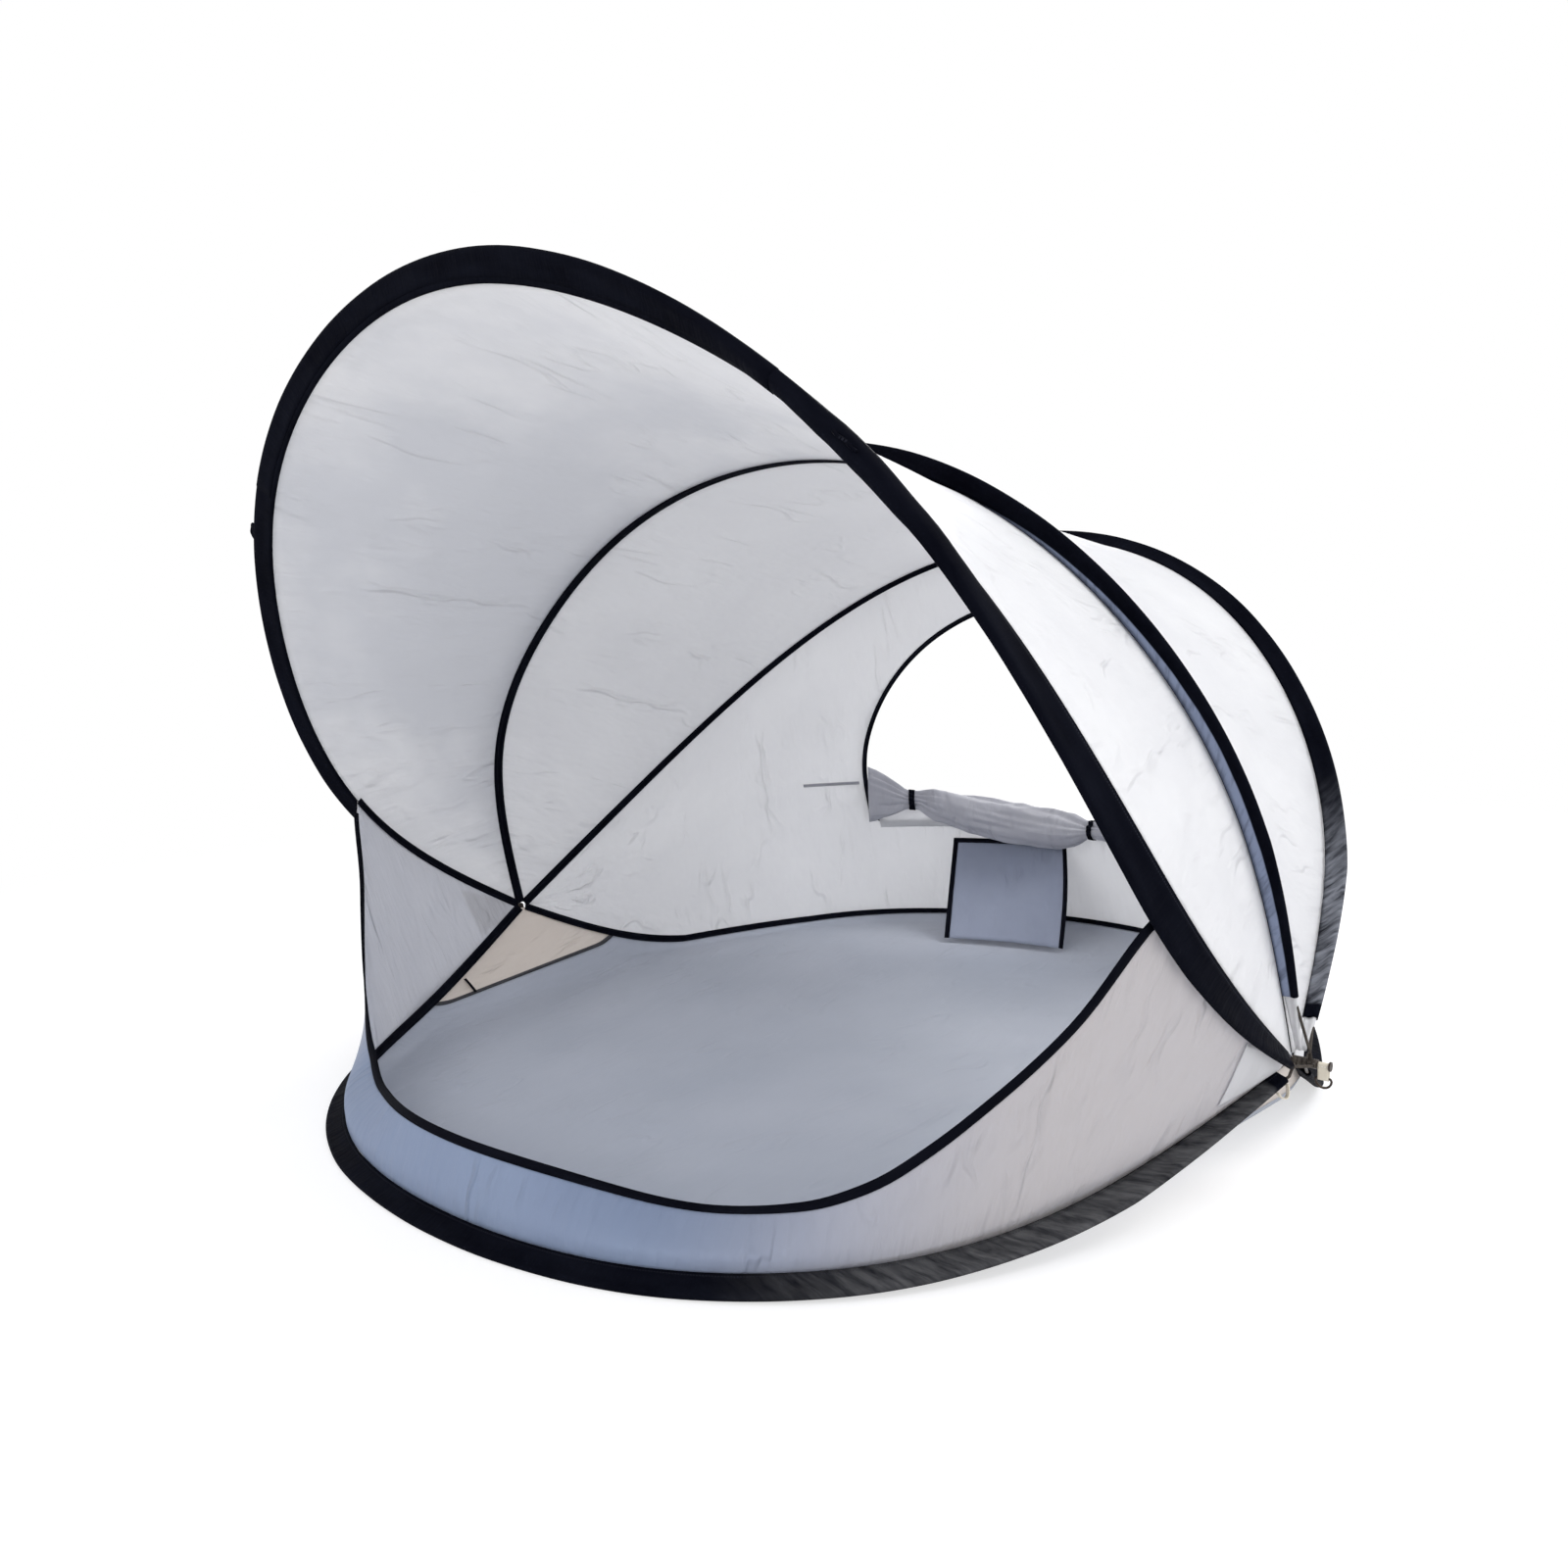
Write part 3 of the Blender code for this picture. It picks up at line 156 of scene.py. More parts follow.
def smooth(values, spread):
    """Values evened out over a few neighbours."""
    reach = 3 * spread
    kernel = np.exp(-0.5 * (np.arange(-reach, reach + 1) / spread) ** 2)
    kernel /= kernel.sum()
    padded = np.concatenate([values[:1]] * reach + [values] + [values[-1:]] * reach)
    flat = padded.reshape(len(padded), -1)
    out = np.stack([np.convolve(flat[:, k], kernel, "valid") for k in range(flat.shape[1])], axis=1)
    return out.reshape(values.shape)


class Hoop:
    """One hoop's seam at every station, and which way its sleeve stands."""

    def __init__(self, name):
        self.name = name
        self.base = name.endswith("base")
        reach, top = HOOP_TOPS[name]
        half = [(HALF_WIDTH, 0.0, CORNER_HEIGHT)]
        for width, along, rise in HOOP_SHARES[name]:
            half.append((width * HALF_WIDTH, along * reach, CORNER_HEIGHT + rise * (top - CORNER_HEIGHT)))
        points = np.array(half + [(-x, y, z) for x, y, z in reversed(half[:-1])])
        self.seam = curve(points, SHARES)
        self.along = unit(curve(points, SHARES + 0.001) - curve(points, SHARES - 0.001))
        if self.base:
            flat = self.seam[:, 2] < BASE_SEAM_HEIGHT
            self.seam[flat, 2] = BASE_SEAM_HEIGHT
            self.along[flat, 2] = 0
            self.along = unit(self.along)
        self.width = WIDTHS[name] * (1 + np.minimum(near_end(SHARES) / TAPER_SHARE, 1)) / 2

    def face(self, after, before):
        """out: across the sleeve from the seam. side: square to it, towards the next hoop."""
        self.after, self.before = after, before
        seam, along = self.seam, self.along
        if self.base:
            level = np.cross(along, UP)
            level *= np.sign(dot(level, seam * (1, 1, 0)))
            out = unit(level) * math.cos(BASE_TILT) - UP * math.sin(BASE_TILT)
        elif self.name == "canopy":
            ahead = square_to(seam - after.seam, along)
            away = square_to(np.cross(along, ahead), along)
            away *= np.sign(dot(away, seam - INSIDE))
            lean = np.interp(SHARES, np.linspace(0, 1, len(CANOPY_LEAN)), CANOPY_LEAN)[:, None]
            skirt = square_to(before.seam - seam, along)
            near = near_end(SHARES)[:, None]
            fold = np.arctan2(dot(skirt, away), dot(skirt, ahead)) + SLEEVE_FOLD
            fold += SLEEVE_END_RISE * np.maximum(1 - near / SLEEVE_END_SHARE, 0)
            lean = np.where(near < SLEEVE_FOLD_SHARE, np.maximum(lean, fold), lean)
            lean = smooth(lean, 3)
            out = ahead * np.cos(lean) + away * np.sin(lean)
        else:
            out = seam - INSIDE
        self.out = square_to(out, along)
        side = unit(np.cross(along, self.out))

        def turn(v):
            return np.arctan2(dot(v, side), dot(v, self.out)) % (2 * math.pi)

        self.side = np.where(turn(after.seam - seam) > turn(before.seam - seam), -side, side)

    def edge(self, towards):
        """Where cloth ends at the seam: towards is 1 on the next hoop's side and -1 on the last one's."""
        neighbour = self.after if towards > 0 else self.before
        run = square_to(neighbour.seam - self.seam, self.along)
        beside = np.clip(1 + dot(run, self.out) / BESIDE, 0, 1)
        apart = (HALF_CLOTH + SEAM_GAP) * (1 - beside) + (SEAM_HALF + INSET) * beside
        return self.seam - self.out * INSET + self.side * (towards * apart)


def at_share(values, share):
    """Values at any share, from their fine table."""
    share = np.atleast_1d(share)
    return np.stack([np.interp(share, SHARES, values[:, k]) for k in range(values.shape[1])], axis=1)


hoops = [Hoop(name) for name in HOOP_TOPS]
for i, hoop in enumerate(hoops):
    hoop.face(hoops[(i + 1) % len(hoops)], hoops[i - 1])
hoops = {hoop.name: hoop for hoop in hoops}


# Shaders

# The wave texture's period at scale 1
WAVE_PERIOD = 0.31416
CLOTH_PITCH = 0.0011
BAND_PITCH = 0.0012
THREAD = 0.0003
STITCH_PITCH = 0.0036
# The front skirt's length, which its UV runs along
SKIRT_RUN = 2.25


class Shade:
    """The nodes of a material, or of the world."""

    def __init__(self, owner):
        owner.use_nodes = True
        self.owner, self.tree = owner, owner.node_tree
        self.tree.nodes.clear()

    @cached_property
    def uv(self):
        return self.node("TexCoord").outputs["UV"]

    def node(self, kind, inputs=None, **settings):
        """inputs: constants, three numbers for a colour, or other nodes' outputs. None leaves one as it is."""
        made = self.tree.nodes.new("ShaderNode" + kind)
        for key, value in settings.items():
            setattr(made, key, value)
        for key, value in (inputs or {}).items():
            socket = made.inputs[key]
            if isinstance(value, bpy.types.NodeSocket):
                self.tree.links.new(value, socket)
            elif value is not None:
                socket.default_value = (*value, 1) if socket.type == "RGBA" else value
        return made

    def value(self, kind, inputs=None, **settings):
        return self.node(kind, inputs, **settings).outputs[0]

    def math(self, operation, a, b=0.0):
        return self.value("Math", {0: a, 1: b}, operation=operation)

    def times(self, a, b):
        return self.math("MULTIPLY", a, b)

    def plus(self, a, b):
        return self.math("ADD", a, b)

    def minus(self, a, b):
        return self.math("SUBTRACT", a, b)

    def apart(self, a, b):
        return self.math("ABSOLUTE", self.minus(a, b))

    def length(self, vector):
        return self.node("VectorMath", {0: vector}, operation="LENGTH").outputs["Value"]

    def mapped(self, scale, turn=0.0, move=(0, 0, 0), source=None):
        inputs = {"Vector": source or self.uv, "Scale": scale, "Rotation": (0, 0, turn), "Location": move}
        return self.value("Mapping", inputs)

    def noise(self, vector, scale, detail=2.0, rough=0.5, distortion=0.0):
        inputs = {"Vector": vector, "Scale": scale, "Detail": detail, "Roughness": rough, "Distortion": distortion}
        return self.value("TexNoise", inputs)

    def span(self, value, low, high, to_low=0.0, to_high=1.0, smooth_step=False):
        kind = "SMOOTHSTEP" if smooth_step else "LINEAR"
        return self.value("MapRange", {0: value, 1: low, 2: high, 3: to_low, 4: to_high}, interpolation_type=kind)

    def fade(self, value, low, high, most=1.0):
        """From most at low to nothing at high, with a soft start and end."""
        return self.span(value, low, high, most, 0.0, True)

    def mix(self, factor, a, b):
        return self.node("Mix", {0: factor, 6: a, 7: b}, data_type="RGBA").outputs[2]

    def weave(self, pitch):
        """Height of a plain weave: threads over and under, from two crossed waves."""
        inputs = {"Vector": self.uv, "Scale": WAVE_PERIOD / pitch}
        return self.times(*(self.node("TexWave", inputs, bands_direction=way).outputs["Fac"] for way in "XY"))

    def creases(self, scale, turn, stretch, width):
        """Thin bent lines where cloth was once folded: the places where a stretched noise crosses its middle."""
        value = self.noise(self.mapped((1.0, stretch, 1.0), turn), scale, 3.0, 0.55, 0.3)
        return self.fade(self.apart(value, 0.5), 0.0, width)

    def bump(self, height, strength, distance, normal=None):
        inputs = {"Height": height, "Strength": strength, "Distance": distance, "Normal": normal}
        return self.value("Bump", inputs)

    def seen(self):
        """1 for what the camera sees, also by way of shine or glass, and 0 for light that bounces."""
        path = self.node("LightPath").outputs
        shiny = self.math("MAXIMUM", path["Is Glossy Ray"], path["Is Transmission Ray"])
        return self.math("MAXIMUM", shiny, path["Is Camera Ray"])

    def mixed(self, factor, a, b):
        return self.value("MixShader", {0: factor, 1: a, 2: b})

    def finish(self, colour, roughness, normal, through=None, share=0.0, **constants):
        inputs = {"Base Color": colour, "Roughness": roughness, "Normal": normal, **constants}
        surface = self.value("BsdfPrincipled", inputs)
        if through:
            light = self.value("BsdfTranslucent", {"Color": through, "Normal": normal})
            surface = self.mixed(share, surface, light)
        self.node("OutputMaterial", {"Surface": surface})
        return self.owner


def cloth_material(name, light, dark, through, share, crease=1.0, roughness=0.5, corners=None, painted_shade=None):
    """Thin coated polyester: fine weave, soft creases, a slight unevenness of tone, and light coming through.

    corners: (colour, how far it reaches, where it has faded, how much shorter at the left end) for a strip whose
    ends get painted light: a paler tan tone for light that comes through the cloth and bounces off the ground.
    painted_shade: (middle, reach, colour) of a darker patch of painted shade, for the shade over the canopy's inside.
    """
    s = Shade(bpy.data.materials.new(name))
    tone = s.noise(s.uv, 3.0, 3.0, 0.5)
    fine = s.noise(s.uv, 34.0, 4.0, 0.6)
    colour = s.mix(s.span(s.plus(s.times(tone, 0.8), s.times(fine, 0.2)), 0.35, 0.65), dark, light)
    # Painted light: the strip's ends fade to a paler tan, for light coming through and bouncing off the ground.
    if corners:
        painted_light_colour, reach, faded, shorter = corners
        along = s.value("SeparateXYZ", {0: s.uv})
        from_end = s.math("MINIMUM", along, s.times(s.minus(SKIRT_RUN, along), shorter))
        colour = s.mix(s.fade(from_end, reach, faded), colour, painted_light_colour)
    # Painted shade: a ragged darker patch that stands in for the shade over the canopy's inside.
    if painted_shade:
        middle, reach, painted_shade_colour = painted_shade
        place = s.mapped((1 / reach[0], 1 / reach[1], 0), move=(-middle[0] / reach[0], -middle[1] / reach[1], 0))
        ragged = s.span(s.noise(s.uv, 3.4, 4.0, 0.6), 0.3, 0.7, -0.5, 0.5)
        colour = s.mix(s.fade(s.plus(s.length(place), s.times(ragged, 0.9)), 0.35, 1.30, 0.85), colour, painted_shade_colour)
    lines = s.plus(s.creases(5.5, 0.7, 0.30, 0.034), s.creases(6.5, -0.5, 0.36, 0.030))
    lines = s.times(lines, s.span(s.noise(s.uv, 7.0), 0.46, 0.64))
    # The crease lines are also darkened a little in colour: painted shade in the creases.
    colour = s.mix(s.times(lines, 0.05 * crease), colour, [v * 0.72 for v in dark])
    swell = s.noise(s.mapped((1.0, 0.45, 1.0), 0.5), 14.0, 3.0, 0.55)
    normal = s.bump(swell, 0.55 * crease, 0.012)
    fine_folds = s.noise(s.mapped((1.0, 0.30, 1.0), -0.6), 38.0, 3.0, 0.6, 0.5)
    patches = s.span(s.noise(s.uv, 5.0), 0.42, 0.66)
    normal = s.bump(s.times(fine_folds, patches), 0.55 * crease, 0.006, normal)
    normal = s.bump(lines, 0.60 * crease, 0.004, normal)
    # Pulled wrinkles that run into the seams
    away = s.value("SeparateXYZ", {0: s.value("UVMap", uv_map="Seams")})
    reach = s.span(s.noise(s.mapped((1.0, 0.0, 1.0)), 7.0, 3.0, 0.6), 0.35, 0.70, 0.02, 0.20)
    pulled = s.times(s.fade(s.math("DIVIDE", away, reach), 0.0, 1.0), crease)
    streaks = s.noise(s.mapped((1.0, 0.13, 1.0), 0.12), 52.0, 3.0, 0.55, 0.25)
    normal = s.bump(s.times(streaks, pulled), 0.62, 0.006, normal)
    normal = s.bump(s.weave(CLOTH_PITCH), 0.25, THREAD, normal)
    rough = s.span(fine, 0.3, 0.7, roughness - 0.06, roughness + 0.08)
    sheen = {"Specular IOR Level": 0.35, "Sheen Weight": 0.12, "Sheen Roughness": 0.5}
    return s.finish(colour, rough, normal, through, share, **sheen)


def band_material(name, colour, light, roughness, stitches, pucker, sheen, gloss=0.4, rubbed=None, beyond=None):
    """Woven tape or sleeve: weave, puckers across it, and rows of stitches. UV x runs along it, in metres.

    rubbed: (from, to, tone, low, high) a painted sheen: a lighter tone that stands in for the reflection of the
    sky and the lamps on the shiny cloth, over that run of the band, in streaks that low and high set apart.
    beyond: (from, to, line there, line here, taper, fall) keeps that painted sheen to the part of the band beyond a
    line across it, which falls further where the band tapers to its end.
    """
    s = Shade(bpy.data.materials.new(name))
    worn = s.noise(s.mapped((1.0, 3.0, 1.0)), 9.0, 4.0, 0.6)
    shade = s.mix(s.span(worn, 0.35, 0.75), colour, light)
    along, across, _ = s.node("SeparateXYZ", {0: s.uv}).outputs
    # Painted sheen: streaks of a lighter tone that stand in for the shiny cloth's reflection of the sky and the
    # lamps.
    if rubbed:
        start, end, sheen_colour, low, high = rubbed
        # Streaks that cross the band aslant
        aslant = s.mapped((0.28, 1.5, 1.0), source=s.mapped((1.0, 1.0, 1.0), 0.75))
        streaks = s.noise(aslant, 75.0, 3.0, 0.6, 0.4)
        there = s.times(s.span(along, start, end, smooth_step=True), s.span(streaks, low, high))
        if beyond:
            line = s.minus(s.span(along, *beyond[:4]), s.span(along, beyond[4], 0.0, 0.0, beyond[5]))
            there = s.times(there, s.span(s.minus(across, line), 0.0, 0.002))
        else:
            there = s.times(there, s.span(along, 0.020, 0.028))
        shade = s.mix(there, shade, sheen_colour)
    normal = s.bump(s.noise(s.mapped((1.0, 0.22, 1.0)), 55.0, 3.0, 0.6), pucker, 0.004)
    normal = s.bump(s.weave(BAND_PITCH), 0.35, THREAD, normal)
    dash = s.span(s.math("PINGPONG", along, STITCH_PITCH / 2), STITCH_PITCH * 0.16, STITCH_PITCH * 0.22)
    thread_colour = [min(v * 3 + 0.02, 1) for v in light]
    for place in stitches:
        away = s.apart(across, place)
        stitch = s.times(s.span(away, 0.0004, 0.0009, 1.0, 0.0), dash)
        normal = s.bump(s.minus(1.0, s.fade(away, 0.0006, 0.0030)), 0.5, 0.0008, normal)
        normal = s.bump(stitch, 0.8, 0.0005, normal)
        shade = s.mix(s.times(stitch, 0.35), shade, thread_colour)
    rough = s.span(worn, 0.3, 0.7, roughness - 0.05, roughness + 0.1)
    sheen = {"Specular IOR Level": gloss, "Sheen Weight": sheen, "Sheen Roughness": 0.35}
    return s.finish(shade, rough, normal, **sheen)


def metal_material(name, colour, worn_colour, metallic, roughness=0.45):
    """Drawn or coated metal: fine scratches, and a lighter tone where it is rubbed."""
    s = Shade(bpy.data.materials.new(name))
    place = s.node("TexCoord").outputs["Object"]
    rub = s.noise(place, 60.0, 4.0, 0.65)
    scratch = s.noise(s.mapped((1.0, 12.0, 12.0), source=place), 220.0)
    shade = s.mix(s.span(rub, 0.5, 0.72), colour, worn_colour)
    rough = s.span(rub, 0.3, 0.7, roughness - 0.08, roughness + 0.12)
    return s.finish(shade, rough, s.bump(scratch, 0.25, THREAD), Metallic=metallic)


SILVER = ((0.88, 0.88, 0.885), (0.80, 0.80, 0.815), (0.90, 0.90, 0.91), 0.42)
WHITE = cloth_material("silver_white_cloth", *SILVER)
# The canopy's cloth carries a patch of painted shade, darker and bluer, for the shade inside the canopy.
CANOPY_WHITE = cloth_material("canopy_cloth", *SILVER, painted_shade=((2.05, 0.34), (0.80, 0.42), (0.60, 0.615, 0.66)))
SKIRT = cloth_material("skirt_cloth", (0.86, 0.87, 0.89), (0.78, 0.79, 0.82), (0.90, 0.90, 0.92), 0.50)
# The skirt's outer face: a grey-blue cloth whose colour is also darkened as painted shade, with painted light at its
# ends.
SKIRT_FACE_PAINTED_LIGHTING = cloth_material(
    "skirt_face_painted_lighting", (0.235, 0.300, 0.430), (0.200, 0.255, 0.385), (0.64, 0.70, 0.84), 0.30,
    corners=((0.60, 0.55, 0.52), 0.45, 1.00, 1.9),
)
POCKET = cloth_material("pocket_cloth", (0.36, 0.395, 0.50), (0.30, 0.335, 0.44), (0.34, 0.36, 0.44), 0.15)
TAN = cloth_material("gusset_cloth", (0.84, 0.80, 0.76), (0.76, 0.71, 0.67), (0.86, 0.80, 0.74), 0.40)
FLAP = cloth_material("flap_cloth", (0.56, 0.56, 0.60), (0.43, 0.43, 0.48), (0.50, 0.50, 0.54), 0.16, 1.4)
FLOOR = cloth_material("groundsheet", (0.47, 0.50, 0.575), (0.41, 0.445, 0.52), (0.4, 0.4, 0.45), 0.05, 0.5, 0.55)

black = partial(band_material, colour=(0.0025, 0.0028, 0.0055), light=(0.0060, 0.0068, 0.0115), sheen=0.0)
sleeve = partial(black, roughness=0.46, stitches=(0.0035,), gloss=0.005)
SLEEVE = sleeve("black_sleeve", pucker=0.6)
# Painted sheen on three sleeves: lighter grey streaks, blue-grey on the middle sleeve, for the shiny cloth's
# reflection of the sky and the lamps.
SLEEVES = {
    "front_base": sleeve("rubbed_base_sleeve", pucker=0.7, rubbed=(0.78, 0.52, (0.092, 0.092, 0.096), 0.22, 0.66)),
    "back": sleeve("rubbed_back_sleeve", pucker=0.7, rubbed=(0.46, 0.20, (0.20, 0.21, 0.24), 0.27, 0.64)),
    "middle": sleeve(
        "rubbed_middle_sleeve", pucker=0.6, rubbed=(0.86, 0.74, (0.26, 0.305, 0.43), 0.0, 0.5),
        beyond=(0.84, 0.34, 0.0600, 0.0450, 0.20, 0.0150),
    ),
}
TAPE = black("black_tape", roughness=0.62, stitches=(0.0020, 0.0120), pucker=0.15, gloss=0.012)
BINDING = black("black_binding", roughness=0.60, stitches=(0.0030, 0.0090), pucker=0.15, gloss=0.012)
GREY_TAPE = band_material("grey_tape", (0.30, 0.30, 0.33), (0.40, 0.40, 0.43), 0.65, (0.0015,), 0.15, 0.1)
DARK_TAPE = band_material(
    "dark_grey_tape", (0.050, 0.050, 0.056), (0.075, 0.075, 0.080), 0.65, (0.0010,), 0.15, 0.05, 0.2
)
CREAM = band_material("cream_webbing", (0.70, 0.64, 0.52), (0.80, 0.75, 0.64), 0.75, (0.0020, 0.0110), 0.1, 0.1)
STEEL = metal_material("coated_spring_wire", (0.050, 0.042, 0.036), (0.115, 0.100, 0.085), 0.7)
BROWN = metal_material("brown_metal", (0.030, 0.020, 0.015), (0.085, 0.060, 0.045), 0.6)


# Mesh helpers

FAR_FROM_SEAMS = 0.5
# Thicknesses
HEM = 0.0006
CLOTH = 0.0007
WOVEN = 0.0008
GROUNDSHEET = 0.0009
WEBBING = 0.0012
DOUBLED = 0.0016
TAB = 0.0028
# The solidify modifier's offset for cloth that is thickened to one side only
ONE_SIDE = -1.0


def mesh_piece(name, points, faces, uvs, material, seams=None):
    """seams: each point's distance from the nearest seam, where wrinkles run into it."""
    mesh = bpy.data.meshes.new(name)
    mesh.from_pydata([tuple(p) for p in points], [], [tuple(int(i) for i in f) for f in faces])
    corners = np.zeros(len(mesh.loops), np.int32)
    mesh.loops.foreach_get("vertex_index", corners)
    away = (np.full(len(points), FAR_FROM_SEAMS) if seams is None else seams.ravel())[corners]
    for layer, values in (("UVMap", uvs), ("Seams", np.stack([away, 0 * away], axis=1))):
        mesh.uv_layers.new(name=layer).data.foreach_set("uv", np.asarray(values, np.float32).ravel())
    mesh.uv_layers["UVMap"].active = True
    mesh.uv_layers["UVMap"].active_render = True
    mesh.shade_smooth()
    mesh.materials.append(material)
    mesh.update()
    piece = bpy.data.objects.new(name, mesh)
    bpy.context.scene.collection.objects.link(piece)
    return piece


def seam_distance(p):
    """How far each point of a grid lies from the nearer end of its row."""
    run = lengths(p, 1)
    return np.minimum(run, run[:, -1:] - run)


def lengths(p, axis):
    """How far along each line of a grid its points lie."""
    step = np.linalg.norm(np.diff(p, axis=axis), axis=-1)
    total = np.cumsum(step, axis=axis)
    pad = [(0, 0), (0, 0)]
    pad[axis] = (1, 0)
    return np.pad(total, pad)


def lattice(n, m, uv, ring=False, closed=False):
    """(faces, UVs) of n rows of m points. ring joins the last row to the first, closed joins each row's ends."""
    faces, uvs = [], []
    for i in range(n if ring else n - 1):
        for j in range(m if closed else m - 1):
            corners = [(i, j), (i, j + 1), ((i + 1) % n, j + 1), ((i + 1) % n, j)]
            faces.append([a * m + b % m for a, b in corners])
            uvs += [uv[a, b] for a, b in corners]
    return faces, uvs


def grid(name, p, material, closed=False, caps=False, seams=None):
    """A surface through a grid of points. closed joins each row's ends, and caps fills the first and last row."""
    n, m = p.shape[:2]
    full = np.concatenate([p, p[:, :1]], axis=1) if closed else p
    v = lengths(full, 1)
    u = np.broadcast_to(lengths(full, 0).mean(axis=1)[:, None], v.shape)
    faces, uvs = lattice(n, m, np.stack([u, v], axis=-1), closed=closed)
    points = list(p.reshape(-1, 3))
    if caps:
        for row, turn in ((0, -1), (n - 1, 1)):
            points.append(p[row].mean(axis=0))
            for j in range(m):
                face = (row * m + j, row * m + (j + 1) % m, len(points) - 1)
                faces.append(face[::turn])
                uvs += [(0.0, 0.0), (0.002, 0.0), (0.0, 0.002)]
    return mesh_piece(name, points, faces, uvs, material, seams)


def thicken(piece, thickness, offset=0.0, back=None):
    shell = piece.modifiers.new("cloth", "SOLIDIFY")
    if back:
        piece.data.materials.append(back)
        shell.material_offset = 1
    shell.thickness = thickness
    shell.offset = offset
    shell.use_even_offset = False


def normals_of(p):
    """Each point's normal, out of the tent."""
    n = unit(np.cross(np.gradient(p, axis=0), np.gradient(p, axis=1)))
    return n * np.sign(dot(n, p - INSIDE))


def push(p, normal, by):
    """A grid of points moved along normal, each by its own amount."""
    return p + normal * by[:, :, None]


def ripple(places, scale, seed):
    """Smooth noise from -1 to 1 at many places."""
    flat = places.reshape(-1, places.shape[-1])
    if flat.shape[1] == 2:
        flat = np.column_stack([flat, np.zeros(len(flat))])
    shift = Vector((seed * 7.31, seed * 3.17, seed * 5.77))
    values = [noise.noise(Vector(q) * scale + shift) for q in flat]
    return np.array(values).reshape(places.shape[:-1])


def bend(piece, low, high, start, end, shares):
    """Bakes the piece's place into its mesh; its points do not turn with either body."""
    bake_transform(piece)


def bend_between(piece, low, high, shares):
    tops = (Vector(hoops[name].seam[COUNT // 2]) for name in (low, high))
    bend(piece, BODIES[low], BODIES[high], *tops, shares)


def stand_for(piece, slot, *nodes):
    """Hides the nodes of the model that the piece stands for. The slot is not used."""
    if nodes:
        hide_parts(*nodes)


def ride(piece, hoop, slot, *nodes):
    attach(piece, BODIES[hoop])
    stand_for(piece, slot, *nodes)


# Cloth between the hoops

PANEL_ROWS = 33
PANEL_SAG = 0.008
PANEL_FOLD = 0.006


def span_between(low, high, across, tops=np.ones(COUNT)):
    """Straight lines from one hoop's seam towards the next one's, as far as tops says."""
    start, end = hoops[low].edge(1), hoops[high].edge(-1)
    shares = tops[:, None] * across[None, :]
    return start[:, None] + (end - start)[:, None] * shares[:, :, None], shares


def taut(p, shares, sag, fold, seed):
    """Cloth pulled tight: it dips between its hoops, and gathers in shallow folds towards the corners."""
    middle = 4 * shares * (1 - shares)
    length = np.linalg.norm(p[:, -1] - p[:, 0], axis=-1)[:, None]
    near = near_end(SHARES)[:, None]
    open_up = np.clip(length / 0.5, 0, 1)
    gather = np.exp(-((near / 0.16) ** 2)) * np.clip(near / 0.03, 0, 1) * np.clip(length / 0.12, 0, 1)
    flat = np.stack(np.broadcast_arrays(near * 3.0, shares * length * 16.0), axis=-1)
    folds = ripple(flat, 1.0, seed) * fold * gather
    swells = ripple(p, 4.5, seed + 1) * 0.0040 + ripple(p, 13.0, seed + 2) * 0.0012
    return push(p, normals_of(p), middle * (folds + (swells - sag) * open_up))


def make_panel(name, low, high, seed, material):
    p, shares = span_between(low, high, np.linspace(0, 1, PANEL_ROWS))
    p = taut(p, shares, PANEL_SAG, PANEL_FOLD, seed)
    piece = grid(name + "_cloth", p, material, seams=seam_distance(p))
    bend_between(piece, low, high, shares)
    thicken(piece, CLOTH)
    stand_for(piece, "silver_fabric", name + "_panel")


# Sleeves

SLEEVE_SEAM_THICK = SEAM_HALF * 0.8
# How far the canopy sleeve stands open, and where
FULLNESS = 0.0105
FULL_SHARE = 0.290
SLEEVE_FROM = {"front_base": 0.010, "canopy": 0.010, "middle": 0.031, "back": 0.020, "rear_base": 0.020}


def sleeve_section(hoop, seed, grow=0.0):
    """Two puckered layers that lie together at the seam and part round the wire at the outer edge."""
    width = hoop.width[:, None]
    centre = width - SLEEVE_ROUND
    steps = np.linspace(0, 1, 6)
    parted = np.clip((steps - 0.45) / 0.55, 0, 1) ** 1.3
    thick = SLEEVE_SEAM_THICK + grow + (SLEEVE_ROUND - SLEEVE_SEAM_THICK) * parted
    arc = np.linspace(math.pi / 2, -math.pi / 2, 7)[1:-1]
    wide = SLEEVE_ROUND + grow
    across = np.concatenate([centre * steps, centre + wide * np.cos(arc), (centre * steps)[:, ::-1]], axis=1)
    up = np.broadcast_to(np.concatenate([thick, wide * np.sin(arc), -thick[::-1]]), across.shape).copy()
    share = np.clip(across / width, 0, 1)
    middle = np.sin(math.pi * share)
    if hoop.name == "canopy":
        # The sleeve stands open where it turns over
        full = FULLNESS * np.exp(-(((SHARES - FULL_SHARE) / 0.050) ** 2))[:, None]
        up += np.sign(up) * full * middle**0.8
    places = np.stack(np.broadcast_arrays(lengths(hoop.seam[:, None], 0), share * 0.02), axis=-1)
    up += middle * (0.0016 * ripple(places, 14.0, seed) + 0.0009 * ripple(places, 38.0, seed + 1))
    across += np.clip(share - 0.5, 0, 1) * 0.0016 * ripple(places, 9.0, seed + 2)
    return push(push(hoop.seam[:, None], hoop.out[:, None], across), hoop.side[:, None], up)


def stretch_of(low, high):
    """Which stations lie between two shares of a hoop."""
    return (SHARES >= low - 1e-9) & (SHARES <= high + 1e-9)


